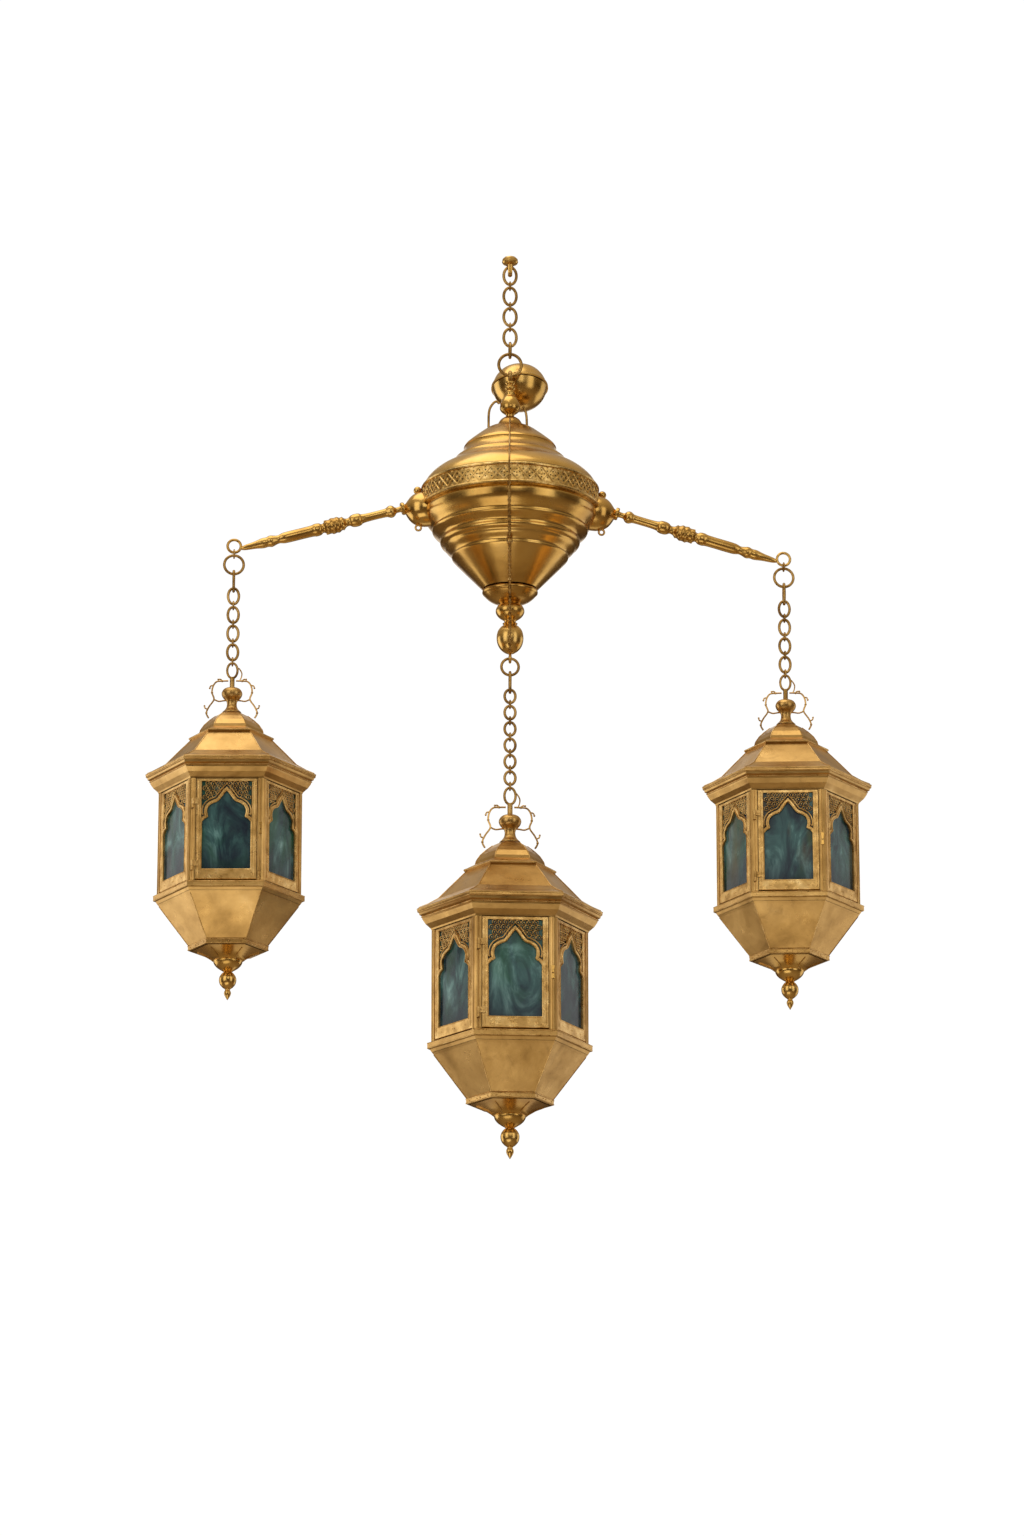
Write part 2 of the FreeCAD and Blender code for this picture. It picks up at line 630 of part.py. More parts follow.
def front_chain():
    """The thin chain that lies down the front of the body: wires, a bead and small rings."""
    wire = share("chain_bead", 1.25)
    upper = wire_run("front_upper", [(-22.5, -272.5), (-37, -276), (-53, -288), (-73.8, -305),
                                     (-76, -311), (-88.5, -325.5), (-104, -341.5),
                                     (-124, -355.5), (-138.8, -372), (-139.2, -396)], wire)
    middle = wire_run("front_rod", [(-137, -421), (-133.5, -432), (-118, -449), (-110, -462),
                                    (-94.5, -483)], wire)
    lower = wire_run("front_lower", [(-91, -494), (-70, -513), (-47, -535), (-46.5, -543),
                                     (-28, -556)], wire)
    tail = wire_run("front_tail", [(-24.8, -566), (-24.4, -574), (-15, -584), (-21, -597),
                                   (-23.6, -611), (-18, -628), (-12, -635)], wire)
    bead = ball("front_bead", share("chain_bead", 5.0), share("band_radius", -92.8), None,
                lowered("cap_top", -211.5))
    pieces = [upper, middle, lower, tail, bead]
    for i, (across, depth) in enumerate(((-138.8, 400.8), (-138.3, 409.6), (-137.6, 417.6))):
        pieces.append(ring("front_ring%d" % i, share("chain_bead", 4.2), share("chain_bead", 1.6),
                           turn(V(1, 0, 0), SQUARE), share("band_radius", across), None,
                           lowered("cap_top", 277.0 - depth)))
    pieces.append(ring("front_low_ring", share("chain_bead", 3.6), share("chain_bead", 1.6),
                       turn(V(1, 0, 0), SQUARE), share("band_radius", -26.2), None,
                       lowered("cap_top", -284.0)))
    run = group("front_run", pieces)
    place(run, None, share("band_radius", -1.9), None, turn(V(0, 0, 1), SQUARE - 5.0))
    node(run, "front_chain")


# ----------------------------------------------------------------------------- one lantern
class Drop:
    """Where one lantern hangs and how large it is."""

    def __init__(self, side, direction, size, drop, yaw):
        self.side = side
        self.size = size
        self.drop = drop
        self.spin = turn(V(0, 0, 1), yaw)
        self.across = share("arm_reach", direction * NOMINAL["arm_reach"]) if direction else None

    def settle(self, thing, name):
        """Put a lantern piece, drawn about its own datum, where the lantern hangs."""
        place(thing, self.across, None, lowered(self.drop), self.spin)
        return node(thing, self.side + "_" + name)


def drop_chain(drop, hook_depth, hook_radius, link_driver, count, shackled):
    """Hook ring, edge-on link, oval links and joining rings of one lantern."""
    side = drop.side
    wire = share("thin_wire", 4.2)
    hook = ring(side + "_hook", share(hook_radius, NOMINAL[hook_radius]), wire,
                turn(V(1, 0, 0), SQUARE), drop.across, None, lowered(hook_depth))
    tall = share("edge_link_height", 36.0)
    hook_foot = total(lowered(hook_depth), share(hook_radius, -NOMINAL[hook_radius]),
                      times(wire, 0.5))
    edge = oval_link(side + "_edge", tall, share("link_width", 16.0), wire,
                     total(hook_foot, share("thin_wire", HOOK_GRIP), times(tall, -0.5)),
                     drop.across, SQUARE)
    start = total(hook_foot, share("thin_wire", HOOK_GRIP + LINK_GRIP), times(tall, -1))
    height = share(link_driver, NOMINAL[link_driver])
    links = face_links(side, count, height, share("link_width", 20.4), wire, start, drop.across)
    small = joiners(side, count, height, wire, start, drop.across)
    pieces = [hook, edge] + links + small
    if shackled:
        pieces.append(ring(side + "_shackle", share("thin_wire", 6.2), share("joiner_wire", 2.6),
                           turn(V(0, 1, 0), SQUARE), drop.across, None,
                           lowered("arm_ring_depth", -12.4)))
    node(group(side + "_links", pieces), side + "_chain")


def hanger(drop):
    """Loop and swivel pin that carry the lantern."""
    side = drop.side
    size = drop.size
    loop = oval_link(side + "_loop", share("loop_height", 27.0, size),
                     share("loop_width", 19.0, size), share("loop_wire", 3.6, size),
                     share("loop_height", 16.0, size))
    pin = rod(side + "_pin", share("pin_radius", 3.6, size), share("lantern_height", 61.0, size),
              up=share("lantern_height", -55.5, size))
    head = rod(side + "_pin_head", share("pin_radius", 7.0, size),
               share("lantern_height", 4.0, size), up=share("lantern_height", -57.5, size))
    drop.settle(joined(side + "_hanger_whole", [loop, pin, head]), "hanger")


def finial(drop):
    """Mushroom knob and neck with a wire scroll on each side."""
    bore = NOMINAL["pin_radius"] + NOMINAL["fit"]
    side = drop.side
    outline = [(bore, -12), (7.5, -11.2), (12.6, -13.4), (15.4, -18), (15.7, -21.5),
               (14, -26), (10.4, -29.6), (8.2, -32), (7.2, -36), (7.8, -41.5), (10.6, -46),
               (14.5, -49.4), (14.5, -50.4), (bore, -50.4)]
    knob = turned(side + "_knob", outline, "finial_radius", "lantern_height", drop.size)
    wire = share("scroll_wire", 1.25)
    grow = NOMINAL[drop.size]
    scroll = [(-5.8, 0), (-15, -0.3), (-23.5, -1.4), (-28.5, -8.4), (-30, -18.5), (-27, -29),
              (-34, -40), (-38, -50), (-34.5, -58)]
    tie = [(-27, -29), (-20, -31.8), (-13, -31), (-7.5, -30.5)]
    pieces = [knob]
    for name, mirror in (("left", 1), ("right", -1)):
        for part, run in (("scroll", scroll), ("tie", tie)):
            points = [(across * mirror * grow, up * grow) for across, up in run]
            pieces.append(wire_run("%s_%s_%s" % (side, part, name), points, wire))
    drop.settle(joined(side + "_finial_whole", pieces), "finial")


def roof(drop):
    drop.settle(hex_sheet(drop.side + "_roof_shell", ROOF, drop.size), "roof")


def corner(radius, step):
    """The direction of a hexagon corner or face, as (x, y) of the given radius."""
    angle = math.radians(step)
    return radius * math.cos(angle), radius * math.sin(angle)


def cage(drop):
    """Posts, top ring, base moulding and the fixed knuckles of the door hinge."""
    side = drop.side
    size = drop.size
    bars = []
    for i in range(6):
        x, y = corner(NOMINAL["post_circle"], i * HEX_STEP)
        bars.append(rod("%s_post%d" % (side, i), share("post_radius", 5.5, size),
                        share("lantern_height", 156.5, size), None,
                        share("post_circle", x, size), share("post_circle", y, size),
                        share("lantern_height", -332.0, size)))
    top = [(104.4, -167), (104.4, -176)]
    top_hole = [(92, -166), (92, -177)]
    base = [(104, -330), (109.5, -331.2), (112.4, -333.4), (112.4, -339), (109, -341),
            (106.4, -345)]
    base_hole = [(92, -329), (92, -346)]
    for name, outer, hole in (("top", top, top_hole), ("base", base, base_hole)):
        bars.append(minus("%s_cage_%s" % (side, name),
                          hex_loft("%s_cage_%s_out" % (side, name), outer, size),
                          hex_loft("%s_cage_%s_hole" % (side, name), hole, size)))
    across = share("hinge_half", -49.5, size)
    front = share("hinge_front", -95.7, size)
    for i, foot in enumerate(HINGE_FEET):
        bars.append(rod("%s_hinge_pin%d" % (side, i), share("hinge_pin", 1.2, size),
                        share("lantern_height", 15.0, size), None, across, front,
                        share("lantern_height", foot, size)))
        bars.append(rod("%s_hinge_foot%d" % (side, i), share("knuckle_radius", 2.2, size),
                        share("lantern_height", 6.0, size), None, across, front,
                        share("lantern_height", foot, size)))
        bars.append(block("%s_hinge_web%d" % (side, i), share("hinge_half", 3.0, size),
                          share("hinge_front", 7.0, size), share("lantern_height", 6.0, size),
                          share("hinge_half", -52.0, size), share("hinge_front", -95.7, size),
                          share("lantern_height", foot, size)))
    drop.settle(joined(side + "_cage_whole", bars), "cage")


def window_panel(name, size, thick):
    """A flat brass panel with a lobed arch opening and pierced spandrels, front towards -Y."""
    panel = doc.addObject("PartDesign::Body", name)
    sketch = flat_sketch(panel, "XZ_Plane")
    half = NOMINAL["panel_half"]
    top = PANEL_TOP
    bottom = PANEL_FOOT
    rim = []
    for across, up in ((-half, top), (half, top), (half, bottom), (-half, bottom)):
        rim.append((share("panel_half", across, size), share("lantern_height", up, size)))
    draw_loop(sketch, rim)
    unit = NOMINAL["window_half"]
    right = [(across * unit, top - down * unit) for across, down in ARCH]
    foot = [(unit, top - 3.76 * unit), (-unit, top - 3.76 * unit)]
    left = [(-across, up) for across, up in right[:0:-1]]
    opening = []
    for across, up in right + foot + left:
        opening.append((share("window_half", across, size), share("lantern_height", up, size)))
    draw_loop(sketch, opening)
    for across, down, radius in PIERCINGS:
        for mirror in (1, -1):
            draw_hole(sketch, share("window_half", across * unit * mirror, size),
                      share("lantern_height", top - down * unit, size),
                      share("window_half", radius * unit, size))
    pad = panel.newObject("PartDesign::Pad", name + "_pad")
    pad.Profile = sketch
    bind(pad, "Length", share("panel_thick", thick, size))
    sketch.Visibility = False
    return panel


def around(thing, driver, distance, size, step):
    """Turn a front piece to another side of the hexagon and push it out to its face."""
    x, y = corner(distance, step - SQUARE)
    across = share(driver, x, size) if abs(x) > 1e-6 else None
    return place(thing, across, share(driver, y, size), None, turn(V(0, 0, 1), step))


def fretwork(drop):
    panels = []
    for i in range(1, 6):
        panel = window_panel("%s_panel%d" % (drop.side, i), drop.size, 3.0)
        panels.append(around(panel, "panel_apothem", NOMINAL["panel_apothem"], drop.size,
                             i * HEX_STEP))
    drop.settle(group(drop.side + "_panels", panels), "fretwork")


def pane(name, size, driver, distance, step):
    """One flat glass pane behind its panel."""
    body = doc.addObject("PartDesign::Body", name)
    sketch = flat_sketch(body, "XZ_Plane")
    corners = []
    for across, up in ((-41, -180), (41, -180), (41, -325), (-41, -325)):
        corners.append((share("panel_half", across, size), share("lantern_height", up, size)))
    draw_loop(sketch, corners)
    pad = body.newObject("PartDesign::Pad", name + "_pad")
    pad.Profile = sketch
    bind(pad, "Length", share("pane_thick", 2.6, size))
    return around(body, driver, distance, size, step)


def panes(drop):
    glasses = []
    for i in range(1, 6):
        glasses.append(pane("%s_pane%d" % (drop.side, i), drop.size, "panel_apothem", 86.7,
                            i * HEX_STEP))
    drop.settle(group(drop.side + "_glasses", glasses), "panes")
    drop.settle(group(drop.side + "_door_glass",
                      [pane(drop.side + "_front_pane", drop.size, "panel_apothem", 87.4, 0.0)]),
                "door_pane")


def door(drop):
    """Front panel that swings on its left edge: panel, leaves and knuckles."""
    side = drop.side
    size = drop.size
    panel = around(window_panel(side + "_front_panel", size, 3.0), "door_apothem",
                   NOMINAL["door_apothem"], size, 0.0)
    pieces = [panel]
    bores = []
    across = share("hinge_half", -49.5, size)
    front = share("hinge_front", -95.7, size)
    for i, foot in enumerate(HINGE_FEET):
        knuckle_foot = share("lantern_height", foot + 6.4, size)
        pieces.append(rod("%s_knuckle%d" % (side, i), share("knuckle_radius", 2.2, size),
                          share("lantern_height", 8.0, size), None, across, front,
                          knuckle_foot))
        pieces.append(block("%s_leaf%d" % (side, i), share("hinge_half", 9.0, size),
                            share("hinge_front", 2.2, size), share("lantern_height", 8.0, size),
                            share("hinge_half", -49.5, size), share("hinge_front", -95.3, size),
                            knuckle_foot))
        radius = (NOMINAL["hinge_pin"] + NOMINAL["fit"],
                  "Dims.hinge_pin * Dims.%s + Dims.fit" % size)
        bores.append(rod("%s_knuckle_bore%d" % (side, i), radius,
                         share("lantern_height", 12.0, size), None, across, front,
                         share("lantern_height", foot + 4.4, size)))
    leaf = joined(side + "_door_solid", pieces)
    drop.settle(minus(side + "_door_cut", leaf, joined(side + "_bores", bores)), "door_frame")


def latch(drop):
    """Turn button on the right front post; upright it lets the door go."""
    side = drop.side
    size = drop.size
    height = share("lantern_height", -252.0, size)
    across = share("post_circle", 50.5, size)
    screw = rod(side + "_screw", share("hinge_pin", 1.4, size), share("hinge_front", 5.2, size),
                turn(V(1, 0, 0), SQUARE), across, share("hinge_front", -93.3, size), height)
    button = doc.addObject("PartDesign::Body", side + "_button")
    sketch = flat_sketch(button, "XZ_Plane")
    corners = []
    for x, z in ((-2.2, -9), (-1.2, 0), (-2.2, 9), (2.2, 9), (1.2, 0), (2.2, -9)):
        corners.append((share("latch_length", x, size), share("latch_length", z, size)))
    draw_loop(sketch, corners)
    pad = button.newObject("PartDesign::Pad", side + "_button_pad")
    pad.Profile = sketch
    bind(pad, "Length", share("hinge_front", 1.6, size))
    place(button, across, share("hinge_front", -94.0, size), height)
    drop.settle(joined(side + "_latch_whole", [screw, button]), "latch")


def bowl(drop):
    """The tapered hexagonal bottom with the riveted strip along its lower edge."""
    levels = [(106, -345.4), (103.4, -348.6), (58.4, -408.4), (59.6, -409.4), (59.6, -414.6),
              (57, -416)]
    drop.settle(hex_sheet(drop.side + "_bowl_shell", levels, drop.size), "bowl")


def bottom_finial(drop):
    """Concave hexagonal cup, round collar, ball and tip."""
    side = drop.side
    cup = hex_loft(side + "_cup", [(54.6, -415.2), (54.6, -416.6), (46, -419.2), (35, -423.4),
                                   (26, -428.6), (21, -433)], drop.size)
    outline = [(0, -426), (20, -428.6), (22, -431.6), (20.8, -435.8), (17, -440.6),
               (10.4, -445), (5.6, -447.6), (8.6, -449.6), (12.2, -454.6), (13.2, -460),
               (12, -466), (8, -471), (4, -473.6), (3.6, -475), (5.4, -478.4), (5, -482),
               (2.6, -486.4), (0, -490.5)]
    stem = turned(side + "_foot", outline, "foot_radius", "lantern_height", drop.size)
    drop.settle(joined(side + "_bottom_whole", [cup, stem]), "bottom_finial")


def candle_pan(drop):
    """Round pan on the base ring with the candle cup standing in it."""
    fit = NOMINAL["candle_radius"] + 0.3
    outline = [(0, -329.6), (84.5, -329.6), (84.5, -326), (83, -326), (82.4, -328),
               (14.2, -328), (13, -312), (fit, -312), (fit, -327), (0, -327)]
    drop.settle(turned(drop.side + "_pan", outline, "eave_radius", "lantern_height", drop.size),
                "candle_pan")


def candle(drop):
    outline = [(0, 0), (11, 0), (11, 73), (8, 75), (1, 74.4), (0.9, 84), (0, 84.6)]
    stick = turned(drop.side + "_stick", outline, "candle_radius", "candle_height", drop.size)
    drop.settle(group(drop.side + "_candle_whole",
                      [place(stick, up=share("lantern_height", -326.8, drop.size))]), "candle")


def lantern(drop):
    for piece in (hanger, finial, roof, cage, fretwork, panes, door, latch, bowl, bottom_finial,
                  candle_pan, candle):
        piece(drop)


# ----------------------------------------------------------------------------- assembly
ceiling_stud()
top_chain()
crown_ring()
stem_eye()
crown_stem()
bail_wires()
ball_pieces()
body_shells()
pierced_band()
body_finial()
tie_rod()
front_chain()
node(group("bosses", [boss("left", -1), boss("right", 1)]), "arm_bosses")
arm("left", -1)
arm("right", 1)

DROPS = [Drop("left", -1, "side_size", "side_drop", -4.5),
         Drop("centre", 0, "centre_size", "centre_drop", 0.0),
         Drop("right", 1, "side_size", "side_drop", -7.0)]
for hung in DROPS:
    if hung.side == "centre":
        drop_chain(hung, "centre_hook_depth", "centre_hook_radius", "centre_link_height", 6, False)
    else:
        drop_chain(hung, "side_hook_depth", "side_hook_radius", "side_link_height", 4, True)
    lantern(hung)

doc.recompute()

# ----------------------------------------------------------------------------- checks and export
faults = []
for thing in doc.Objects:
    if "Invalid" in thing.State or "Error" in thing.State:
        faults.append("%s (%s)" % (thing.Name, thing.State))
for name, thing in sorted(NODES.items()):
    if thing.Shape.isNull() or not thing.Shape.isValid():
        faults.append("bad shape " + name)
if faults:
    raise RuntimeError("; ".join(faults))
for name, thing in sorted(NODES.items()):
    thing.Shape.exportStep("parts/%s.step" % name)
    print("%-22s solids %3d  volume %10.1f" % (name, len(thing.Shape.Solids), thing.Shape.Volume))
print("%d nodes" % len(NODES))
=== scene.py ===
import json
import math

import bmesh
import bpy
from mathutils import Matrix, Vector


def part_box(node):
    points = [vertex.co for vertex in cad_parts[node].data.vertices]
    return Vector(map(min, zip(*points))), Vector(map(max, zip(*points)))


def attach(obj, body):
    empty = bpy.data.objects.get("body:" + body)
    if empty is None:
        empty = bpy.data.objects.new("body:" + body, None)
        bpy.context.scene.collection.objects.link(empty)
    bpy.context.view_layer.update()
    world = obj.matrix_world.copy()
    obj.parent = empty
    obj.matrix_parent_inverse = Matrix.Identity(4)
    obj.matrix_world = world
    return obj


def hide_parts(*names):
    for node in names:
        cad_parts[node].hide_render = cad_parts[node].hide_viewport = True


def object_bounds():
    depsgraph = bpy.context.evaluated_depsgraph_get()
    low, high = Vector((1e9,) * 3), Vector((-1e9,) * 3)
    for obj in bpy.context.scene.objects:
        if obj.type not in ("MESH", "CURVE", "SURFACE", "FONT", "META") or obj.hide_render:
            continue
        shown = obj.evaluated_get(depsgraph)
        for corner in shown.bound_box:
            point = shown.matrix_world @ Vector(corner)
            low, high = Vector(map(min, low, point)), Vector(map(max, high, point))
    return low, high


# Looks for the brass chandelier with three hexagonal lanterns.  The spun and turned brass, the
# fretwork, the engraved band, the corner posts and the trims are built here; the rest is CAD.
# Lantern drawings are in millimetres about the lantern's own datum, front towards -Y.

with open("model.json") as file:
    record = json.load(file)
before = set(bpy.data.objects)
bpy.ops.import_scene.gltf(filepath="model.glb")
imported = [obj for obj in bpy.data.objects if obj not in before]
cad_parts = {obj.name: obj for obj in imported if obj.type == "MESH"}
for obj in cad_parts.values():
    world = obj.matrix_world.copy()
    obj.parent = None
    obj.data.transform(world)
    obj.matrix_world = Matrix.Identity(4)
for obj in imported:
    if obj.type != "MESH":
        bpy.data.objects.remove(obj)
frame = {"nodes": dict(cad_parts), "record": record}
cad_low, cad_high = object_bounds()
JOINTS = {row["name"]: row for row in frame["record"]["behaviour"]["joints"]}
SIDES = ("left", "centre", "right")
MM = 0.001
HEX = 60.0


# ----------------------------------------------------------------------------- node helpers
class Shader:
    """A node material with short calls for the nodes that the finishes share."""

    def __init__(self, name, roughness=0.3, metallic=1.0):
        self.material = bpy.data.materials.new(name)
        self.material.use_nodes = True
        self.nodes = self.material.node_tree.nodes
        self.links = self.material.node_tree.links
        self.skin = self.nodes["Principled BSDF"]
        self.skin.inputs["Roughness"].default_value = roughness
        self.skin.inputs["Metallic"].default_value = metallic
        self.coordinates = self.nodes.new("ShaderNodeTexCoord")
        self.place = self.coordinates.outputs["Object"]

    def link(self, output, node, socket):
        self.links.new(output, node.inputs[socket])

    def stretch(self, scale):
        """Object coordinates scaled per axis."""
        mapping = self.nodes.new("ShaderNodeMapping")
        mapping.inputs["Scale"].default_value = scale
        self.link(self.place, mapping, "Vector")
        return mapping.outputs["Vector"]

    def height(self):
        """How far up its own box a point is, from 0 to 1."""
        split = self.nodes.new("ShaderNodeSeparateXYZ")
        self.link(self.coordinates.outputs["Generated"], split, "Vector")
        return split.outputs["Z"]

    def noise(self, scale, detail=4.0, rough=0.55, vector=None, twist=0.0):
        texture = self.nodes.new("ShaderNodeTexNoise")
        texture.inputs["Scale"].default_value = scale
        texture.inputs["Detail"].default_value = detail
        texture.inputs["Roughness"].default_value = rough
        texture.inputs["Distortion"].default_value = twist
        self.link(vector or self.place, texture, "Vector")
        return texture.outputs["Fac"]

    def ramp(self, value, stops):
        """Colours along a value: [(position, (r, g, b)), ...]."""
        band = self.nodes.new("ShaderNodeValToRGB")
        elements = band.color_ramp.elements
        while len(elements) < len(stops):
            elements.new(0.5)
        for element, (position, colour) in zip(elements, stops):
            element.position = position
            element.color = (*colour, 1.0)
        self.link(value, band, "Fac")
        return band.outputs["Color"]

    def scaled(self, value, low, high, start=0.3, end=0.7):
        """Map a value from start..end to low..high."""
        span = self.nodes.new("ShaderNodeMapRange")
        span.inputs["From Min"].default_value = start
        span.inputs["From Max"].default_value = end
        span.inputs["To Min"].default_value = low
        span.inputs["To Max"].default_value = high
        self.link(value, span, "Value")
        return span.outputs["Result"]

    def mix(self, factor, first, second):
        """Blend two colours; the second may be three numbers."""
        blend = self.nodes.new("ShaderNodeMix")
        blend.data_type = "RGBA"
        self.link(factor, blend, "Factor")
        colours = [socket for socket in blend.inputs if socket.type == "RGBA"]
        self.links.new(first, colours[0])
        if isinstance(second, tuple):
            colours[1].default_value = (*second, 1.0)
        else:
            self.links.new(second, colours[1])
        return [socket for socket in blend.outputs if socket.type == "RGBA"][0]

    def bump(self, height, strength, distance, below=None):
        node = self.nodes.new("ShaderNodeBump")
        node.inputs["Strength"].default_value = strength
        node.inputs["Distance"].default_value = distance
        self.link(height, node, "Height")
        if below is not None:
            self.link(below, node, "Normal")
        self.links.new(node.outputs["Normal"], self.skin.inputs["Normal"])
        return node.outputs["Normal"]

    def colour(self, output):
        self.link(output, self.skin, "Base Color")

    def rough(self, output):
        self.link(output, self.skin, "Roughness")


# ----------------------------------------------------------------------------- finishes
def polished_brass():
    """Spun and lacquered brass: warm gold, brown in places, with fine turning lines."""
    s = Shader("polished_brass", 0.2)
    clouds = s.noise(9.0, 5.0, 0.6)
    gold = s.ramp(clouds, [(0.28, (0.42, 0.22, 0.05)), (0.5, (0.66, 0.39, 0.10)),
                           (0.75, (0.80, 0.52, 0.17))])
    specks = s.noise(240.0, 3.0, 0.7)
    s.colour(s.mix(s.scaled(specks, 0.0, 0.35, 0.68, 0.82), gold, (0.22, 0.1, 0.03)))
    s.rough(s.scaled(s.noise(26.0, 4.0, 0.6), 0.17, 0.3))
    lines = s.noise(420.0, 2.0, 0.5, s.stretch((0.02, 0.02, 1.0)))
    s.bump(s.noise(18.0, 2.0), 0.07, 0.002, s.bump(lines, 0.04, 0.0004))
    return s.material


def satin_brass():
    """Folded lantern sheet: satin gold with brown clouds, streaks and shallow dents."""
    s = Shader("satin_brass", 0.34)
    clouds = s.noise(11.0, 6.0, 0.62, twist=0.6)
    gold = s.ramp(clouds, [(0.25, (0.34, 0.185, 0.05)), (0.45, (0.56, 0.33, 0.10)),
                           (0.62, (0.68, 0.42, 0.14)), (0.82, (0.80, 0.54, 0.22))])
    stains = s.noise(34.0, 6.0, 0.7, s.stretch((1.0, 1.0, 0.45)), 1.2)
    worn = s.mix(s.scaled(stains, 0.0, 0.5, 0.55, 0.78), gold, (0.26, 0.135, 0.04))
    specks = s.noise(260.0, 2.0, 0.6)
    s.colour(s.mix(s.scaled(specks, 0.0, 0.4, 0.66, 0.8), worn, (0.16, 0.08, 0.028)))
    s.rough(s.scaled(s.noise(26.0, 5.0, 0.65), 0.24, 0.42))
    s.bump(s.noise(130.0, 4.0, 0.6), 0.10, 0.0012, s.bump(s.noise(9.0, 2.0), 0.3, 0.004))
    return s.material


def antique_brass():
    """Chains and rings: brown-gold wire, dark in places and rubbed bright in others."""
    s = Shader("antique_brass", 0.28)
    wear = s.noise(38.0, 4.0, 0.6)
    s.colour(s.ramp(wear, [(0.3, (0.20, 0.10, 0.028)), (0.5, (0.42, 0.24, 0.065)),
                           (0.72, (0.66, 0.42, 0.15))]))
    s.rough(s.scaled(s.noise(44.0), 0.22, 0.38))
    s.bump(s.noise(160.0, 2.0), 0.06, 0.0006)
    return s.material


def fret_brass():
    """Cast and filed fretwork: gold from dull to bright, with dark grime in small random specks."""
    s = Shader("fret_brass", 0.3)
    wear = s.noise(60.0, 5.0, 0.6)
    gold = s.ramp(wear, [(0.3, (0.42, 0.235, 0.065)), (0.52, (0.68, 0.42, 0.14)),
                         (0.75, (0.86, 0.60, 0.25))])
    grime = s.noise(240.0, 4.0, 0.7)
    s.colour(s.mix(s.scaled(grime, 0.0, 0.5, 0.58, 0.76), gold, (0.18, 0.09, 0.03)))
    s.rough(s.scaled(s.noise(110.0), 0.22, 0.42))
    s.bump(s.noise(420.0, 3.0, 0.6), 0.25, 0.0008)
    return s.material


def engraved_brass(name, dark, middle, bright):
    """The chased band: bright relief over a darker ground."""
    s = Shader(name, 0.28)
    wear = s.noise(120.0, 5.0, 0.65)
    s.colour(s.ramp(wear, [(0.3, dark), (0.5, middle), (0.72, bright)]))
    s.rough(s.scaled(s.noise(200.0), 0.2, 0.4))
    s.bump(s.noise(420.0, 3.0, 0.6), 0.22, 0.0008)
    return s.material


def coloured_glass():
    """Mottled art glass: teal and navy with green and amber patches, darkest low down."""
    s = Shader("coloured_glass", 0.2, 0.0)
    patches = s.noise(19.0, 5.0, 0.62, s.stretch((1.0, 1.0, 0.5)), 1.8)
    teal = s.ramp(patches, [(0.3, (0.004, 0.008, 0.014)), (0.42, (0.010, 0.024, 0.026)),
                            (0.54, (0.026, 0.062, 0.056)), (0.66, (0.085, 0.16, 0.14)),
                            (0.8, (0.26, 0.38, 0.33))])
    green = s.noise(14.0, 3.0, 0.5, s.stretch((1.3, 1.3, 0.7)), 0.8)
    tinted = s.mix(s.scaled(green, 0.0, 0.75, 0.5, 0.68), teal, (0.008, 0.045, 0.016))
    amber = s.noise(10.0, 3.0, 0.5, s.stretch((2.2, 2.2, 0.5)))
    warm = s.mix(s.scaled(amber, 0.0, 0.5, 0.58, 0.72), tinted, (0.10, 0.055, 0.014))
    s.colour(s.mix(s.scaled(s.height(), 0.85, 0.0, 0.02, 0.45), warm, (0.003, 0.005, 0.012)))
    s.rough(s.scaled(s.noise(30.0), 0.14, 0.3))
    s.skin.inputs["Specular IOR Level"].default_value = 0.22
    s.bump(s.noise(24.0, 3.0), 0.3, 0.0025)
    return s.material


def steel():
    """The hidden tie rod."""
    s = Shader("steel_rod", 0.35)
    s.colour(s.ramp(s.noise(80.0), [(0.3, (0.28, 0.27, 0.26)), (0.7, (0.52, 0.51, 0.5))]))
    return s.material


def wax():
    """Candle wax, slightly uneven."""
    s = Shader("candle_wax", 0.5, 0.0)
    s.colour(s.ramp(s.noise(40.0), [(0.3, (0.72, 0.62, 0.42)), (0.7, (0.86, 0.79, 0.62))]))
    s.skin.inputs["Subsurface Weight"].default_value = 0.3
    s.skin.inputs["Subsurface Radius"].default_value = (0.01, 0.006, 0.003)
    s.bump(s.noise(120.0), 0.15, 0.001)
    return s.material


FINISH = {
    "polished_brass": polished_brass(),
    "satin_brass": satin_brass(),
    "antique_brass": antique_brass(),
    "fret_brass": fret_brass(),
    "engraved_brass": engraved_brass("engraved_brass", (0.42, 0.24, 0.06), (0.72, 0.46, 0.14),
                                     (0.90, 0.64, 0.27)),
    "coloured_glass": coloured_glass(),
    "steel_rod": steel(),
    "candle_wax": wax(),
}
BAND_GROUND = engraved_brass("band_ground", (0.40, 0.23, 0.06), (0.66, 0.42, 0.13),
                             (0.86, 0.60, 0.25))
# Near-black brass for the dots that stand for the band's piercings: painted shade, not holes.
BAND_HOLE_SHADE = engraved_brass("band_painted_hole_shade", (0.012, 0.007, 0.003), (0.03, 0.016, 0.006),
                            (0.07, 0.04, 0.015))


def dress_cad():
    """Give every CAD node the finish of its own slot."""
    slots = {row["node"]: row["material_slot"] for row in frame["record"]["subparts"]}
    for name, thing in frame["nodes"].items():
        thing.data.materials.clear()
        thing.data.materials.append(FINISH[slots[name]])


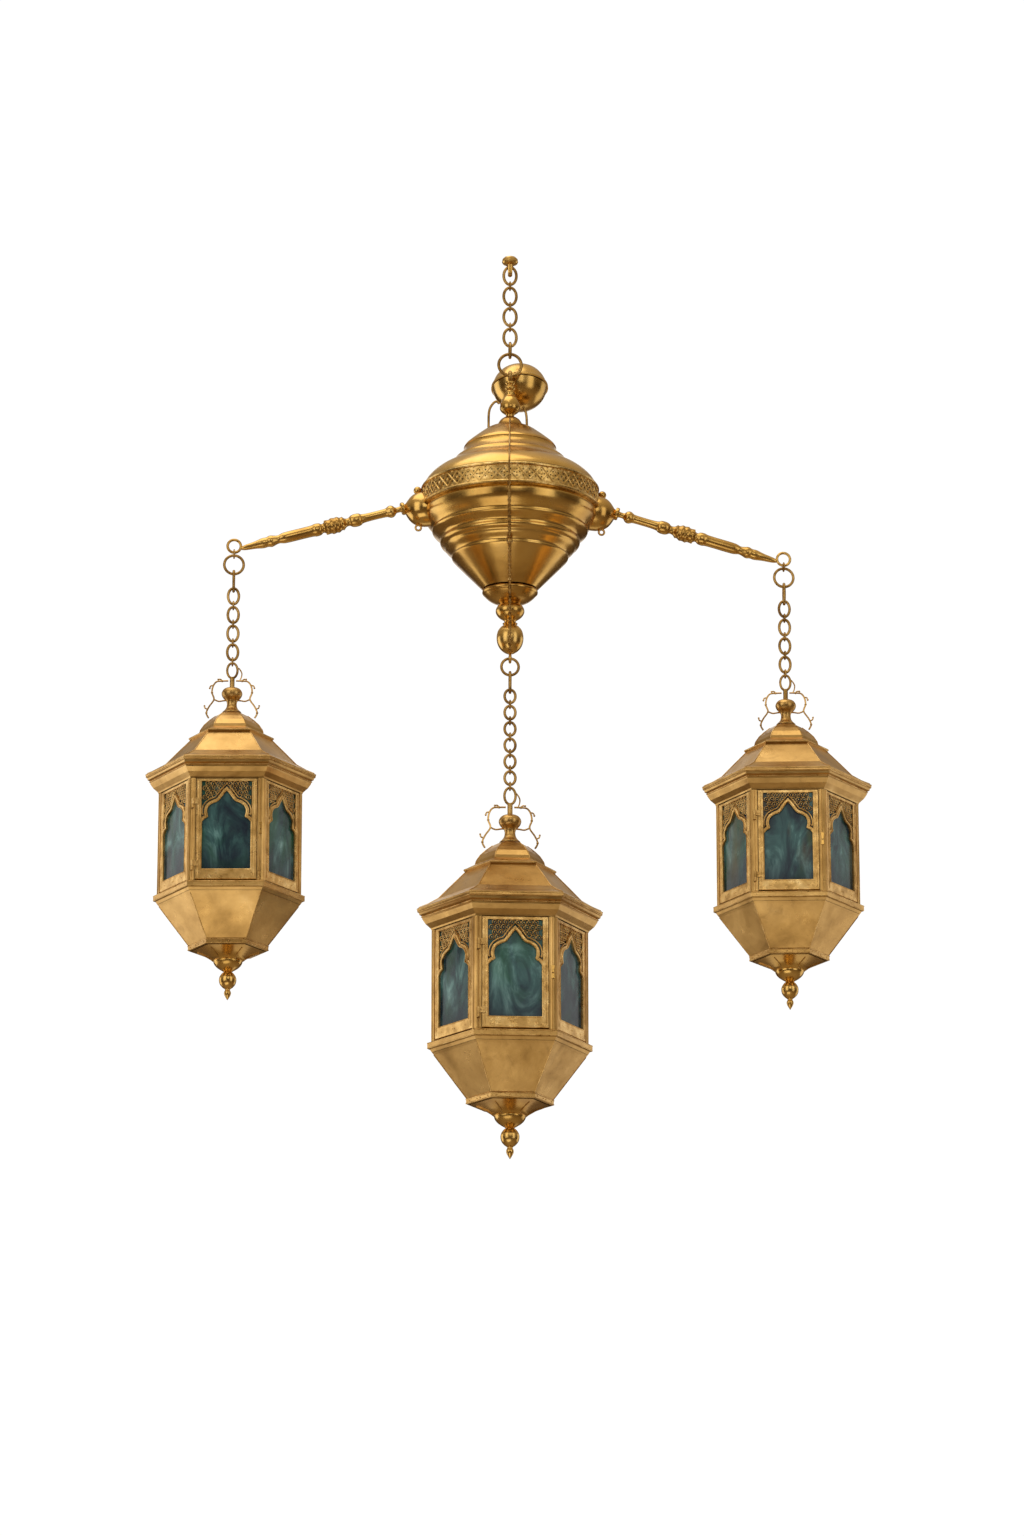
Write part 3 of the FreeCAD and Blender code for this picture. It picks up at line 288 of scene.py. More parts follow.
# ----------------------------------------------------------------------------- mesh helpers
def tube(mesh, points, radius, sides=8, closed=False):
    """A round wire along a list of points, open or closed."""
    points = [Vector(point) for point in points]
    count = len(points)
    loops = []
    side = None
    for i, point in enumerate(points):
        if closed:
            ahead = points[(i + 1) % count] - points[i - 1]
        else:
            ahead = points[min(i + 1, count - 1)] - points[max(i - 1, 0)]
        ahead.normalize()
        if side is None:
            side = ahead.orthogonal()
        side = (side - ahead * side.dot(ahead)).normalized()
        other = ahead.cross(side)
        loop = []
        for k in range(sides):
            angle = 2 * math.pi * k / sides
            loop.append(mesh.verts.new(point + radius * (side * math.cos(angle)
                                                         + other * math.sin(angle))))
        loops.append(loop)
    for i in range(count if closed else count - 1):
        join_loops(mesh, loops[i], loops[(i + 1) % count])
    if not closed:
        mesh.faces.new(loops[0][::-1])
        mesh.faces.new(loops[-1])


def join_loops(mesh, first, second):
    """A skin of quads between two loops of equal length."""
    count = len(first)
    for k in range(count):
        following = (k + 1) % count
        mesh.faces.new((first[k], first[following], second[following], second[k]))


def bead(mesh, centre, radius, detail=8):
    """A small round bead."""
    centre = Vector(centre)
    steps = detail // 2
    loops = []
    for ring in range(1, steps):
        lift = math.pi * ring / steps
        level = centre + Vector((0, 0, radius * math.cos(lift)))
        reach = radius * math.sin(lift)
        loops.append([mesh.verts.new(level + Vector((reach * math.cos(2 * math.pi * k / detail),
                                                     reach * math.sin(2 * math.pi * k / detail), 0)))
                      for k in range(detail)])
    for above, below in zip(loops, loops[1:]):
        join_loops(mesh, above, below)
    for loop, tip in ((loops[0], radius), (loops[-1], -radius)):
        pole = mesh.verts.new(centre + Vector((0, 0, tip)))
        for k in range(detail):
            mesh.faces.new((loop[k], loop[(k + 1) % detail], pole))


def spin(mesh, outline, matrix=Matrix.Identity(4), steps=64):
    """A turned solid: (radius, height) points spun about Z, then placed by a matrix."""
    levels = []
    for radius, up in outline:
        if radius == 0:
            levels.append([mesh.verts.new(matrix @ Vector((0, 0, up)))])
            continue
        level = []
        for k in range(steps):
            angle = 2 * math.pi * k / steps
            spot = Vector((radius * math.cos(angle), radius * math.sin(angle), up))
            level.append(mesh.verts.new(matrix @ spot))
        levels.append(level)
    pairs = list(zip(levels, levels[1:]))
    if len(levels[0]) > 1:
        pairs.append((levels[-1], levels[0]))
    for first, second in pairs:
        if len(first) == len(second) > 1:
            join_loops(mesh, first, second)
        elif len(first) != len(second):
            loop, pole = (first, second[0]) if len(first) > 1 else (second, first[0])
            for k in range(steps):
                mesh.faces.new((loop[k], loop[(k + 1) % steps], pole))


def eased(outline, rounds=2, sharp=62.0):
    """An outline with its gentle corners rounded off; sharp corners and both ends stay."""
    for _ in range(rounds):
        smoother = [outline[0]]
        for before, here, after in zip(outline, outline[1:], outline[2:]):
            a, b, c = Vector(before), Vector(here), Vector(after)
            if math.degrees((b - a).angle(c - b)) > sharp:
                smoother.append(here)
            else:
                smoother += [tuple(b.lerp(a, 0.25)), tuple(b.lerp(c, 0.25))]
        smoother.append(outline[-1])
        outline = smoother
    return outline


SHEET_WALL = 1.6
BALL_INNER_SHARE = 0.96


def sheet(outer):
    """A spun sheet: the eased outer line with one wall behind it."""
    line = eased(outer)
    return line + [(radius - SHEET_WALL, up) for radius, up in line[::-1]]


def closed_sheet(outer):
    """A spun sheet that is closed on its axis."""
    line = eased(outer)
    inner = [(radius * BALL_INNER_SHARE, up * BALL_INNER_SHARE) for radius, up in line]
    return line + inner[::-1]


def ring(mesh, centre, radius, wire, normal, steps=40):
    """A round wire ring about an axis."""
    facing = Vector(normal).to_track_quat("Z", "Y").to_matrix()
    points = []
    for k in range(steps):
        angle = 2 * math.pi * k / steps
        points.append(Vector(centre) + facing @ Vector((radius * math.cos(angle),
                                                        radius * math.sin(angle), 0)))
    tube(mesh, points, wire / 2, 12, True)


def flowing(points, steps=6):
    """A smooth line through a few points."""
    points = [Vector(point) for point in points]
    ends = [2 * points[0] - points[1]] + points + [2 * points[-1] - points[-2]]
    line = []
    for a, b, c, d in zip(ends, ends[1:], ends[2:], ends[3:]):
        for step in range(steps):
            t = step / steps
            line.append(0.5 * (2 * b + (c - a) * t + (2 * a - 5 * b + 4 * c - d) * t * t
                               + (3 * b - a - 3 * c + d) * t ** 3))
    return line + [points[-1]]


def offset(line, distance, closed):
    """A line of (across, up) points moved sideways, to its left, with mitred corners."""
    moved = []
    count = len(line)
    for i, point in enumerate(line):
        before = line[i - 1] if closed or i else None
        after = line[(i + 1) % count] if closed or i < count - 1 else None
        normals = []
        for a, b in ((before, point), (point, after)):
            if a is not None and b is not None:
                run = Vector((b[0] - a[0], b[1] - a[1])).normalized()
                normals.append(Vector((-run.y, run.x)))
        push = sum(normals, Vector((0, 0)))
        push *= min(len(normals) / push.dot(push), 1.6)
        moved.append((point[0] + push.x * distance, point[1] + push.y * distance))
    return moved


def strip(mesh, left, right, back, front, chamfer, closed=False):
    """A flat bar between two lines in a lantern face; its front edges are chamfered."""
    loops = []
    for (x0, z0), (x1, z1) in zip(left, right):
        run = Vector((x1 - x0, z1 - z0))
        inset = run.normalized() * min(chamfer, run.length * 0.3)
        corners = [(x0, back, z0), (x0, front + chamfer, z0), (x0 + inset.x, front, z0 + inset.y),
                   (x1 - inset.x, front, z1 - inset.y), (x1, front + chamfer, z1),
                   (x1, back, z1)]
        loops.append([mesh.verts.new(corner) for corner in corners])
    count = len(loops)
    for i in range(count if closed else count - 1):
        join_loops(mesh, loops[i], loops[(i + 1) % count])
    if not closed:
        mesh.faces.new(loops[0])
        mesh.faces.new(loops[-1][::-1])


def finish_mesh(name, mesh, matrix, body, slot, smooth=35.0, material=None):
    """Turn a bmesh into a piece that rides on a body."""
    bmesh.ops.recalc_face_normals(mesh, faces=mesh.faces)
    data = bpy.data.meshes.new(name)
    mesh.to_mesh(data)
    mesh.free()
    data.transform(matrix)
    data.shade_smooth()
    data.set_sharp_from_angle(angle=math.radians(smooth))
    piece = bpy.data.objects.new(name, data)
    piece.data.materials.append(material or FINISH[slot])
    bpy.context.collection.objects.link(piece)
    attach(piece, body)
    return piece


def carrier_piece(name, mesh, slot, *nodes, material=None):
    """A piece drawn in millimetres about the ceiling stud that rides on the carrier."""
    piece = finish_mesh(name, mesh, Matrix.Scale(MM, 4), "carrier", slot, material=material)
    if nodes:
        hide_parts(*nodes)


def stamp(mesh, part, matrix):
    """Copy one small mesh into another, moved by a matrix."""
    copy = part.copy()
    bmesh.ops.transform(copy, matrix=matrix, verts=copy.verts)
    data = bpy.data.meshes.new("stamp")
    copy.to_mesh(data)
    copy.free()
    mesh.from_mesh(data)
    bpy.data.meshes.remove(data)


def face_turn(step):
    """Turn the front face of a hexagon to another face."""
    return Matrix.Rotation(math.radians(step * HEX), 4, "Z")


# ----------------------------------------------------------------------------- lanterns
PANEL_HALF = 45.0
PANEL_TOP = -176.5
PANEL_FOOT = -329.0
WINDOW_HALF = 36.6
WINDOW_FOOT = -314.1
FRAME_TOP = -180.6
CAGE_HEIGHT = 178.0
TURN_BELOW_DATUM = 30.0
FIXED_BACK = -89.5
DOOR_BACK = -90.2
PANEL_THICK = 3.0
# Right half of the lobed arch: across and down from the panel top, in half window widths.
ARCH = [(0.0, 0.48), (0.08, 0.56), (0.16, 0.67), (0.25, 0.80), (0.33, 0.90), (0.40, 0.95),
        (0.50, 0.98), (0.60, 1.03), (0.70, 1.10), (0.77, 1.20), (0.80, 1.31), (0.80, 1.42),
        (0.76, 1.58), (0.80, 1.62), (0.88, 1.65), (1.0, 1.79)]


class Lantern:
    """Where one lantern hangs, how large it is and which way it faces, from the record."""

    def __init__(self, side):
        self.side = side
        low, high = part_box(side + "_cage")
        self.size = (high[2] - low[2]) / (CAGE_HEIGHT * MM)
        pivot = JOINTS[side + "_lantern_turn"]["pos_m"]
        axis = JOINTS[side + "_latch_turn"]["axis"]
        self.yaw = math.atan2(-axis[0], axis[1])
        rise = TURN_BELOW_DATUM * MM * self.size
        self.datum = Vector((pivot[0], pivot[1], pivot[2] + rise))
        self.matrix = (Matrix.Translation(self.datum) @ Matrix.Rotation(self.yaw, 4, "Z")
                       @ Matrix.Scale(MM * self.size, 4))

    def add(self, name, mesh, slot, body="lantern", smooth=35.0):
        return finish_mesh(self.side + "_" + name, mesh, self.matrix, self.side + "_" + body,
                           slot, smooth)


def arch_line():
    """The arch from its left foot over the point to its right foot."""
    right = [(across * WINDOW_HALF, PANEL_TOP - down * WINDOW_HALF) for across, down in ARCH]
    left = [(-across, up) for across, up in right[:0:-1]]
    return left + right


def arch_height(across):
    """Height of the arch edge at a distance from the middle."""
    reach = abs(across) / WINDOW_HALF
    for (a, down_a), (b, down_b) in zip(ARCH, ARCH[1:]):
        if a <= reach <= b:
            share = (reach - a) / (b - a) if b > a else 0.0
            return PANEL_TOP - (down_a + (down_b - down_a) * share) * WINDOW_HALF
    return PANEL_TOP - ARCH[-1][1] * WINDOW_HALF


def gap_to_arch(across, up, line):
    """Shortest distance from a point to the arch line."""
    nearest = 1e9
    point = Vector((across, up))
    for a, b in zip(line, line[1:]):
        start = Vector(a)
        run = Vector(b) - start
        along = max(0.0, min(1.0, (point - start).dot(run) / run.dot(run)))
        nearest = min(nearest, (point - start - run * along).length)
    return nearest


def circle(across, up, radius, depth, steps=14):
    """Points of a ring in the lantern's face."""
    return [(across + radius * math.cos(2 * math.pi * k / steps), depth,
             up + radius * math.sin(2 * math.pi * k / steps)) for k in range(steps)]


NET_PITCH = 8.0
NET_RISE = NET_PITCH * math.cos(math.radians(30))
NET_RING = 3.3
NET_WIRE = 0.62
NET_BEAD = 1.15
NET_CLEAR_OF_ARCH = 6.6
TWIG_WIRE = 0.5
# A twig from its cell's centre: across and up.
TWIG = [(-3.9, 4.0), (-1.4, 3.3), (1.4, -3.3), (3.9, -4.0)]


def lattice(mesh, depth):
    """Net of rings, beads and curved twigs that fills both spandrels."""
    line = arch_line()
    row = 0
    up = FRAME_TOP - 3.4
    while up > PANEL_TOP - ARCH[-1][1] * WINDOW_HALF:
        across = 3.9 + (NET_PITCH / 2 if row % 2 else 0.0)
        while across < WINDOW_HALF - 1.0:
            clear = gap_to_arch(across, up, line)
            if up > arch_height(across) and clear > NET_CLEAR_OF_ARCH:
                for mirror in (1, -1):
                    spot = across * mirror
                    tube(mesh, circle(spot, up, NET_RING, depth, 12), NET_WIRE, 6, True)
                    bead(mesh, (spot, depth, up), NET_BEAD, 6)
                    if row % 2 == 0:
                        twig = [(spot + x * mirror, depth + 0.2, up + z) for x, z in TWIG]
                        tube(mesh, twig, TWIG_WIRE, 6)
            across += NET_PITCH
        up -= NET_RISE
        row += 1


# The bar along the arch, the vine outside it and the bead round the opening.
ARCH_BAR = 4.2
VINE_OUT = 6.6
VINE_WIRE = 0.95
OPENING_WIRE = 1.15
GROOVE_ACROSS = 41.2
GROOVE_WIRE = 0.7
EDGE_CHAMFER = 0.7


def panel_mesh(back):
    """One window panel: frame, bordered arch, net and the bright bead round the opening."""
    mesh = bmesh.new()
    front = back - PANEL_THICK
    outer = [(-PANEL_HALF, PANEL_TOP), (PANEL_HALF, PANEL_TOP), (PANEL_HALF, PANEL_FOOT),
             (-PANEL_HALF, PANEL_FOOT)]
    inner = [(-WINDOW_HALF, FRAME_TOP), (WINDOW_HALF, FRAME_TOP), (WINDOW_HALF, WINDOW_FOOT),
             (-WINDOW_HALF, WINDOW_FOOT)]
    strip(mesh, outer, inner, back, front, EDGE_CHAMFER, True)
    line = arch_line()
    rim = offset(line, ARCH_BAR, False)
    strip(mesh, rim, line, back + 0.3, front + 0.1, EDGE_CHAMFER)
    vine = [(x, front + 0.5, z) for x, z in offset(line, VINE_OUT, False)
            if z < FRAME_TOP and abs(x) < WINDOW_HALF]
    tube(mesh, vine, VINE_WIRE, 8)
    lattice(mesh, back - 1.3)
    opening = line + [(WINDOW_HALF, WINDOW_FOOT), (-WINDOW_HALF, WINDOW_FOOT)]
    tube(mesh, [(x, front + 0.3, z) for x, z in opening], OPENING_WIRE, 8, True)
    for across in (-GROOVE_ACROSS, GROOVE_ACROSS):
        run = [(across, front + 0.25, up) for up in (PANEL_FOOT + 4.0, PANEL_TOP - 3.0)]
        tube(mesh, run, GROOVE_WIRE, 6)
    for across in (-28.0, -2.4, 2.4, 28.0):
        bead(mesh, (across, front + 0.1, PANEL_FOOT + 7.4), 1.0, 6)
    return mesh


def fixed_panels(lantern):
    """The five fixed panels."""
    whole = bmesh.new()
    one = panel_mesh(FIXED_BACK)
    for step in range(1, 6):
        stamp(whole, one, face_turn(step))
    one.free()
    piece = lantern.add("fret_panels", whole, "fret_brass")
    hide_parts(lantern.side + "_fretwork")


HINGE_ACROSS = -49.5
HINGE_DEPTH = -95.7
HINGE_FEET = (-309.6, -215.6)
KNUCKLE_HEIGHT = 8.0
KNUCKLE_RADIUS = 2.2
LEAF_EDGE = -40.5
LEAF_BACK = -93.1
LEAF_FRONT = -95.3


def door_panel(lantern):
    """The front panel with its two hinge leaves and knuckles."""
    mesh = panel_mesh(DOOR_BACK)
    for low in HINGE_FEET:
        high = low + KNUCKLE_HEIGHT
        tube(mesh, [(HINGE_ACROSS, HINGE_DEPTH, low), (HINGE_ACROSS, HINGE_DEPTH, high)],
             KNUCKLE_RADIUS, 16)
        leaf = [(HINGE_ACROSS, low), (HINGE_ACROSS, high)]
        edge = [(LEAF_EDGE, low), (LEAF_EDGE, high)]
        strip(mesh, leaf, edge, LEAF_BACK, LEAF_FRONT, 0.5)
        for across in (-46.0, -42.6):
            bead(mesh, (across, LEAF_FRONT, (low + high) / 2), 0.8, 6)
    piece = lantern.add("door_panel", mesh, "fret_brass", "door")
    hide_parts(lantern.side + "_door_frame")


# Half section of a post: out from the lantern's axis, and sideways.
POST_HALF = [(107.0, 1.5), (105.7, 3.4), (106.1, 4.3), (105.0, 5.0), (103.6, 7.2),
             (101.0, 6.4), (95.0, 2.9)]
POST_TOP = -175.9
POST_FOOT = -330.2


def corner_posts(lantern):
    """Angular corner posts with a chamfered nose and a raised line on each flat."""
    mesh = bmesh.new()
    outline = POST_HALF + [(u, -v) for u, v in POST_HALF[::-1]]
    for corner in range(6):
        turn = Matrix.Rotation(math.radians(corner * HEX), 4, "Z")
        loops = []
        for up in (POST_TOP, POST_FOOT):
            loops.append([mesh.verts.new(turn @ Vector((u, v, up))) for u, v in outline])
        join_loops(mesh, loops[0], loops[1])
        mesh.faces.new(loops[0])
        mesh.faces.new(loops[1][::-1])
    lantern.add("corner_posts", mesh, "satin_brass", smooth=20.0)


# Corner radius and height of the folds that show a seam, from the dome to the eave.
DOME_HIP = [(24.0, -55.0), (33.5, -62.0), (41.0, -69.0), (46.4, -77.0), (47.6, -81.5)]
ROOF_HIP = [(61.4, -93.4), (80.0, -112.0), (98.0, -130.5), (112.0, -138.5), (124.6, -143.8)]
BOWL_HIP = [(103.4, -348.6), (81.0, -378.4), (58.4, -408.4)]
CUP_HIP = [(46.0, -419.2), (35.0, -423.4), (26.0, -428.6), (21.5, -432.0)]
# Corner radius and height of the thin rolled edges that run right round the lantern.
EDGES = [(63.2, -90.3, 0.9), (126.6, -146.4, 1.1), (126.0, -150.2, 0.8), (121.0, -157.4, 0.9),
         (112.0, -333.0, 1.0), (111.8, -339.6, 0.9), (59.6, -409.2, 0.9), (59.4, -414.8, 0.9)]
# Apothem, height and across of the rivets and marks on each face.
RIVETS = [(109.6, -148.2, (-46, -3, 3, 46), 1.1), (105.4, -155.0, (-22, 22), 0.9),
          (97.0, -336.2, (-48, -20, 20, 48), 1.0), (51.8, -412.0, (-22, -4, 4, 22), 1.0)]


SEAM_RADIUS = 0.75


def seams(lantern):
    """Soldered hips, rolled edges and rivets of the folded sheet."""
    mesh = bmesh.new()
    for corner in range(6):
        angle = math.radians(corner * HEX)
        for hip in (DOME_HIP, ROOF_HIP, BOWL_HIP, CUP_HIP):
            run = [(r * math.cos(angle), r * math.sin(angle), up) for r, up in hip]
            tube(mesh, run, SEAM_RADIUS, 6)
    for radius, up, thickness in EDGES:
        edge = [(radius * math.cos(math.radians(k * HEX)), radius * math.sin(math.radians(k * HEX)),
                 up) for k in range(6)]
        tube(mesh, edge, thickness, 8, True)
    for step in range(6):
        turn = face_turn(step)
        for apothem, up, places, radius in RIVETS:
            for across in places:
                bead(mesh, turn @ Vector((across, -apothem, up)), radius, 6)
    lantern.add("seams_and_rivets", mesh, "fret_brass")


SCROLL = [(-5.8, 0), (-15, -0.3), (-23.5, -1.4), (-28.5, -8.4), (-30, -18.5), (-27, -29),
          (-34, -40), (-38, -50), (-34.5, -58)]
SCROLL_TIE = [(-27, -29), (-20, -31.8), (-13, -31), (-7.5, -30.5)]
SCROLL_TWIGS = [[(-28, -7), (-32, -8), (-33.5, -11.5)], [(-36, -44), (-40, -42.5), (-41, -39)],
                [(-15, -0.3), (-17.5, 2.4), (-21, 2.2)]]
# The spare loop stands in front of the hanger: across, depth and up.
SPARE_LOOP = [(9, 7, 22), (12, 7, 18), (14, 6, 13), (13.5, 4, 7), (12, 1.5, 2.5), (11, 0, 0)]
KNOB = [(3.65, -12), (7.5, -11.2), (12.6, -13.4), (15.4, -18), (15.7, -21.5), (14, -26),
        (10.4, -29.6), (8.2, -32), (7.2, -36), (7.8, -41.5), (10.6, -46), (14.5, -49.4),
        (14.5, -50.4), (3.65, -50.4)]
CUP = [(54.6, -415.2), (54.6, -416.6), (46, -419.2), (35, -423.4), (26, -428.6), (21, -433)]
FOOT = [(0, -426), (20, -428.6), (22, -431.6), (20.8, -435.8), (17, -440.6), (10.4, -445),
        (5.6, -447.6), (8.6, -449.6), (12.2, -454.6), (13.2, -460), (12, -466), (8, -471),
        (4, -473.6), (3.6, -475), (5.4, -478.4), (5, -482), (2.6, -486.4), (0, -490.5)]


def knob_and_scrolls(lantern):
    """The mushroom knob and the wire scrolls with their buds, twigs and spare loop."""
    mesh = bmesh.new()
    spin(mesh, eased(KNOB))
    wires = [(SCROLL, 1.3), (SCROLL_TIE, 1.2)] + [(twig, 1.1) for twig in SCROLL_TWIGS]
    for mirror in (1, -1):
        for line, radius in wires:
            tube(mesh, flowing([(x * mirror, 0.0, z) for x, z in line]), radius, 8)
        for across, up in SCROLL[1::3]:
            bead(mesh, (across * mirror, 0.0, up), 1.9, 10)
        for twig in SCROLL_TWIGS:
            tip_across, tip_up = twig[-1]
            bead(mesh, (tip_across * mirror, 0.0, tip_up), 1.5, 8)
    tube(mesh, flowing(SPARE_LOOP), 1.0, 8)
    piece = lantern.add("knob_and_scrolls", mesh, "satin_brass")
    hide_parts(lantern.side + "_finial")


def foot(lantern):
    """The concave hexagonal cup and the turned ball and tip below it."""
    mesh = bmesh.new()
    levels = []
    for radius, up in eased(CUP, 1):
        levels.append([mesh.verts.new((radius * math.cos(math.radians(k * HEX)),
                                       radius * math.sin(math.radians(k * HEX)), up))
                       for k in range(6)])
    for upper, lower in zip(levels, levels[1:]):
        join_loops(mesh, upper, lower)
    mesh.faces.new(levels[0])
    mesh.faces.new(levels[-1][::-1])
    spin(mesh, eased(FOOT))
    piece = lantern.add("foot", mesh, "polished_brass")
    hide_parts(lantern.side + "_bottom_finial")


# ----------------------------------------------------------------------------- spun body
# Outlines are (radius, height) in millimetres from the top of the piece, unless said.
CAP = [(9.9, 0), (30, -1), (36, -3.5), (50, -14), (61, -23), (69, -30), (70.6, -33.5)]
UPPER = [(69.6, -32), (70.2, -36), (72, -41.5), (80.5, -50), (84.5, -52.5), (85.6, -56),
         (92.5, -62), (99.5, -66.5), (103, -68), (112.5, -73.5), (121.5, -81), (129, -89.5),
         (131.6, -97)]
LOWER = [(129.5, -132.8), (131.6, -136.5), (131, -141), (129.8, -147), (126.2, -153.5),
         (119.6, -161), (117.8, -164.2), (118.6, -167), (116.6, -169.8), (111, -173.8),
         (105.8, -178), (105.2, -181.5), (106.6, -184.6), (104.6, -188.6), (99.6, -191.6),
         (97.8, -196), (90.2, -202.6), (88, -206), (88.8, -208.8), (85.8, -212.4),
         (72.8, -226), (41.5, -258.5)]
BODY_FOOT = [(0, 0), (40, 0), (42.2, -2.5), (42.2, -5.5), (39.5, -8), (37.8, -10), (32, -15.5),
             (24, -19.5), (17.5, -21.5), (15.5, -23.5), (19.5, -26), (22, -31.5), (21.6, -37),
             (17, -43.5), (10, -47.6), (8, -50.5), (11.5, -53.2), (9, -55.4), (14, -58.2),
             (19, -65), (20.8, -75.5), (19, -86.5), (13.5, -95), (6, -100), (0, -101.5)]
STEM = [(4.05, 0), (7.4, 0), (7.8, -3), (5.6, -5), (5.6, -6.5), (8.2, -8.5), (8.2, -12),
        (5.8, -14), (7.2, -18), (6.4, -22), (8.6, -24), (11.5, -27), (14.2, -33), (15.9, -41),
        (15.2, -46), (10.5, -50.5), (6.2, -53), (6.2, -56.4), (9.2, -57.6), (14.6, -61.2),
        (18.4, -67), (19.8, -73.5), (9.5, -73.5), (9.5, -60.5), (4.05, -60.5)]
# Heights about the ball's own centre.
BALL_BOWL = [(0, -37), (9, -36.2), (20, -32.4), (31, -24.4), (38.6, -14), (42.2, -2.2)]
BALL_HOOD = [(0, 37), (10, 36), (21, 32.2), (31, 25.2), (38.4, 15), (42.4, 4), (44, 2.5),
             (44, -1.5)]
BALL_CENTRE = (19.0, 53.0, -193.0)
BALL_TILT = -12.0
STRUT = [(2.85, 7.95, -216.0), (9.1, 25.4, -216.0)]
STRUT_RADIUS = 3.0
# The eye under the body's foot: depth below the foot's top, ring radius and wire.
FOOT_EYE = (108.0, 5.4, 4.2)


def top_of(node):
    """The highest point of a CAD node, in millimetres."""
    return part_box(node)[1][2] / MM


def spun(name, node, outline, top, steps=128):
    """One spun piece of the body in place of a CAD node."""
    mesh = bmesh.new()
    spin(mesh, outline, Matrix.Translation((0, 0, top)), steps)
    carrier_piece(name, mesh, "polished_brass", node)


def spun_body():
    """Cap, shells, foot, stem and hooded ball with smooth spun curves."""
    cap_top = top_of("body_cap")
    spun("spun_cap", "body_cap", sheet(CAP), cap_top)
    spun("spun_upper_shell", "upper_shell", sheet(UPPER), cap_top)
    spun("spun_lower_shell", "lower_shell", sheet(LOWER), cap_top)
    spun("turned_stem", "crown_stem", eased(STEM), top_of("crown_stem"), 64)
    foot_top = top_of("body_finial")
    mesh = bmesh.new()
    spin(mesh, eased(BODY_FOOT), Matrix.Translation((0, 0, foot_top)), 96)
    depth, radius, wire = FOOT_EYE
    ring(mesh, (0, 0, foot_top - depth), radius, wire, (1, 0, 0))
    carrier_piece("turned_foot", mesh, "polished_brass", "body_finial")
    place = (Matrix.Translation(BALL_CENTRE)
             @ Matrix.Rotation(math.radians(BALL_TILT), 4, "X"))
    bowl = bmesh.new()
    spin(bowl, closed_sheet(BALL_BOWL), place, 96)
    tube(bowl, STRUT, STRUT_RADIUS, 16)
    carrier_piece("ball_lower", bowl, "polished_brass", "ball_bowl")
    hood = bmesh.new()
    spin(hood, closed_sheet(BALL_HOOD), place, 96)
    carrier_piece("ball_upper", hood, "polished_brass", "ball_hood")


# ----------------------------------------------------------------------------- body trims
BAND_TOP = -375.6
BAND_REPEATS = 44
BAND_MIDDLE = -16.2
NET_REACH = 10.6
# Radius and height of the band's section, from its top inner edge round to its back.
BAND_OUTLINE = [(127.0, -1.2), (132.4, 0.2), (134.8, -0.2), (135.8, -1.8), (135.4, -3.8),
                (133.2, -5.0), (133.2, -27.4), (135.2, -28.4), (136.0, -30.4), (135.2, -32.4),
                (132.6, -33.6), (127.0, -34.4), (127.0, -33.0), (131.0, -31.0), (131.0, -3.0),
                (127.0, -2.2)]
# Beads of the net: cells round, height in net reaches and bead radius.
NET_BEADS = [(0.0, 0, 2.0), (0.5, 0, 1.6), (0.5, -1, 1.6), (0.5, 1, 1.6)]
# Dots of painted shade that stand for the band's piercings: cells round and height in net reaches.
NET_SHADE_DOTS = [(0.0, 0.5), (0.0, -0.5), (0.5, 0.45), (0.5, -0.45), (0.22, 0.0), (-0.22, 0.0)]


def on_band(angle, up, radius):
    """A point on the band, its height measured from the band's top."""
    return (radius * math.cos(angle), radius * math.sin(angle), BAND_TOP + up)


def band():
    """The engraved band: a bright ground with smooth lips, a net of diamonds and dots of painted
    shade for the piercings.
    """
    ground = bmesh.new()
    spin(ground, [(radius, BAND_TOP + up) for radius, up in BAND_OUTLINE], steps=160)
    carrier_piece("band_ground", ground, "engraved_brass", "pierced_band", material=BAND_GROUND)
    relief = bmesh.new()
    shade_dots = bmesh.new()
    cell = 2 * math.pi / BAND_REPEATS
    for k in range(BAND_REPEATS):
        for lean in (1, -1):
            for rise in (1, -1):
                run = []
                for step in range(5):
                    share = step / 4
                    turn = cell * (k + 0.5 * (1 - share) * lean)
                    up = BAND_MIDDLE + NET_REACH * share * rise
                    run.append(on_band(turn, up, 133.5))
                tube(relief, run, 0.8, 6)
        for turn, level, radius in NET_BEADS:
            spot = on_band(cell * (k + turn), BAND_MIDDLE + level * NET_REACH, 133.3)
            bead(relief, spot, radius, 8)
        # Near-black dots of painted shade where the band is pierced.
        for turn, level in NET_SHADE_DOTS:
            spot = on_band(cell * (k + turn), BAND_MIDDLE + level * NET_REACH, 132.6)
            bead(shade_dots, spot, 1.5, 6)
    carrier_piece("band_relief", relief, "engraved_brass")
    carrier_piece("band_painted_hole_shade", shade_dots, "engraved_brass", material=BAND_HOLE_SHADE)


ARM_START = 163.6
ARM_DROOP = 15.9
BOSS_HEIGHT = -411.0
# Distance along the arm, radius of the ring of beads, number of beads and bead size.
ARM_BEADS = [(101.0, 9.6, 12, 2.1), (110.5, 10.6, 12, 2.3), (120.0, 9.6, 12, 2.1)]
# Outline of the collar that covers the joint between a boss and its arm: distance and radius.
ARM_COLLAR = [(-3.4, 5.0), (-3.4, 8.6), (-1.6, 9.8), (0.8, 9.8), (2.4, 8.6), (2.4, 5.0)]


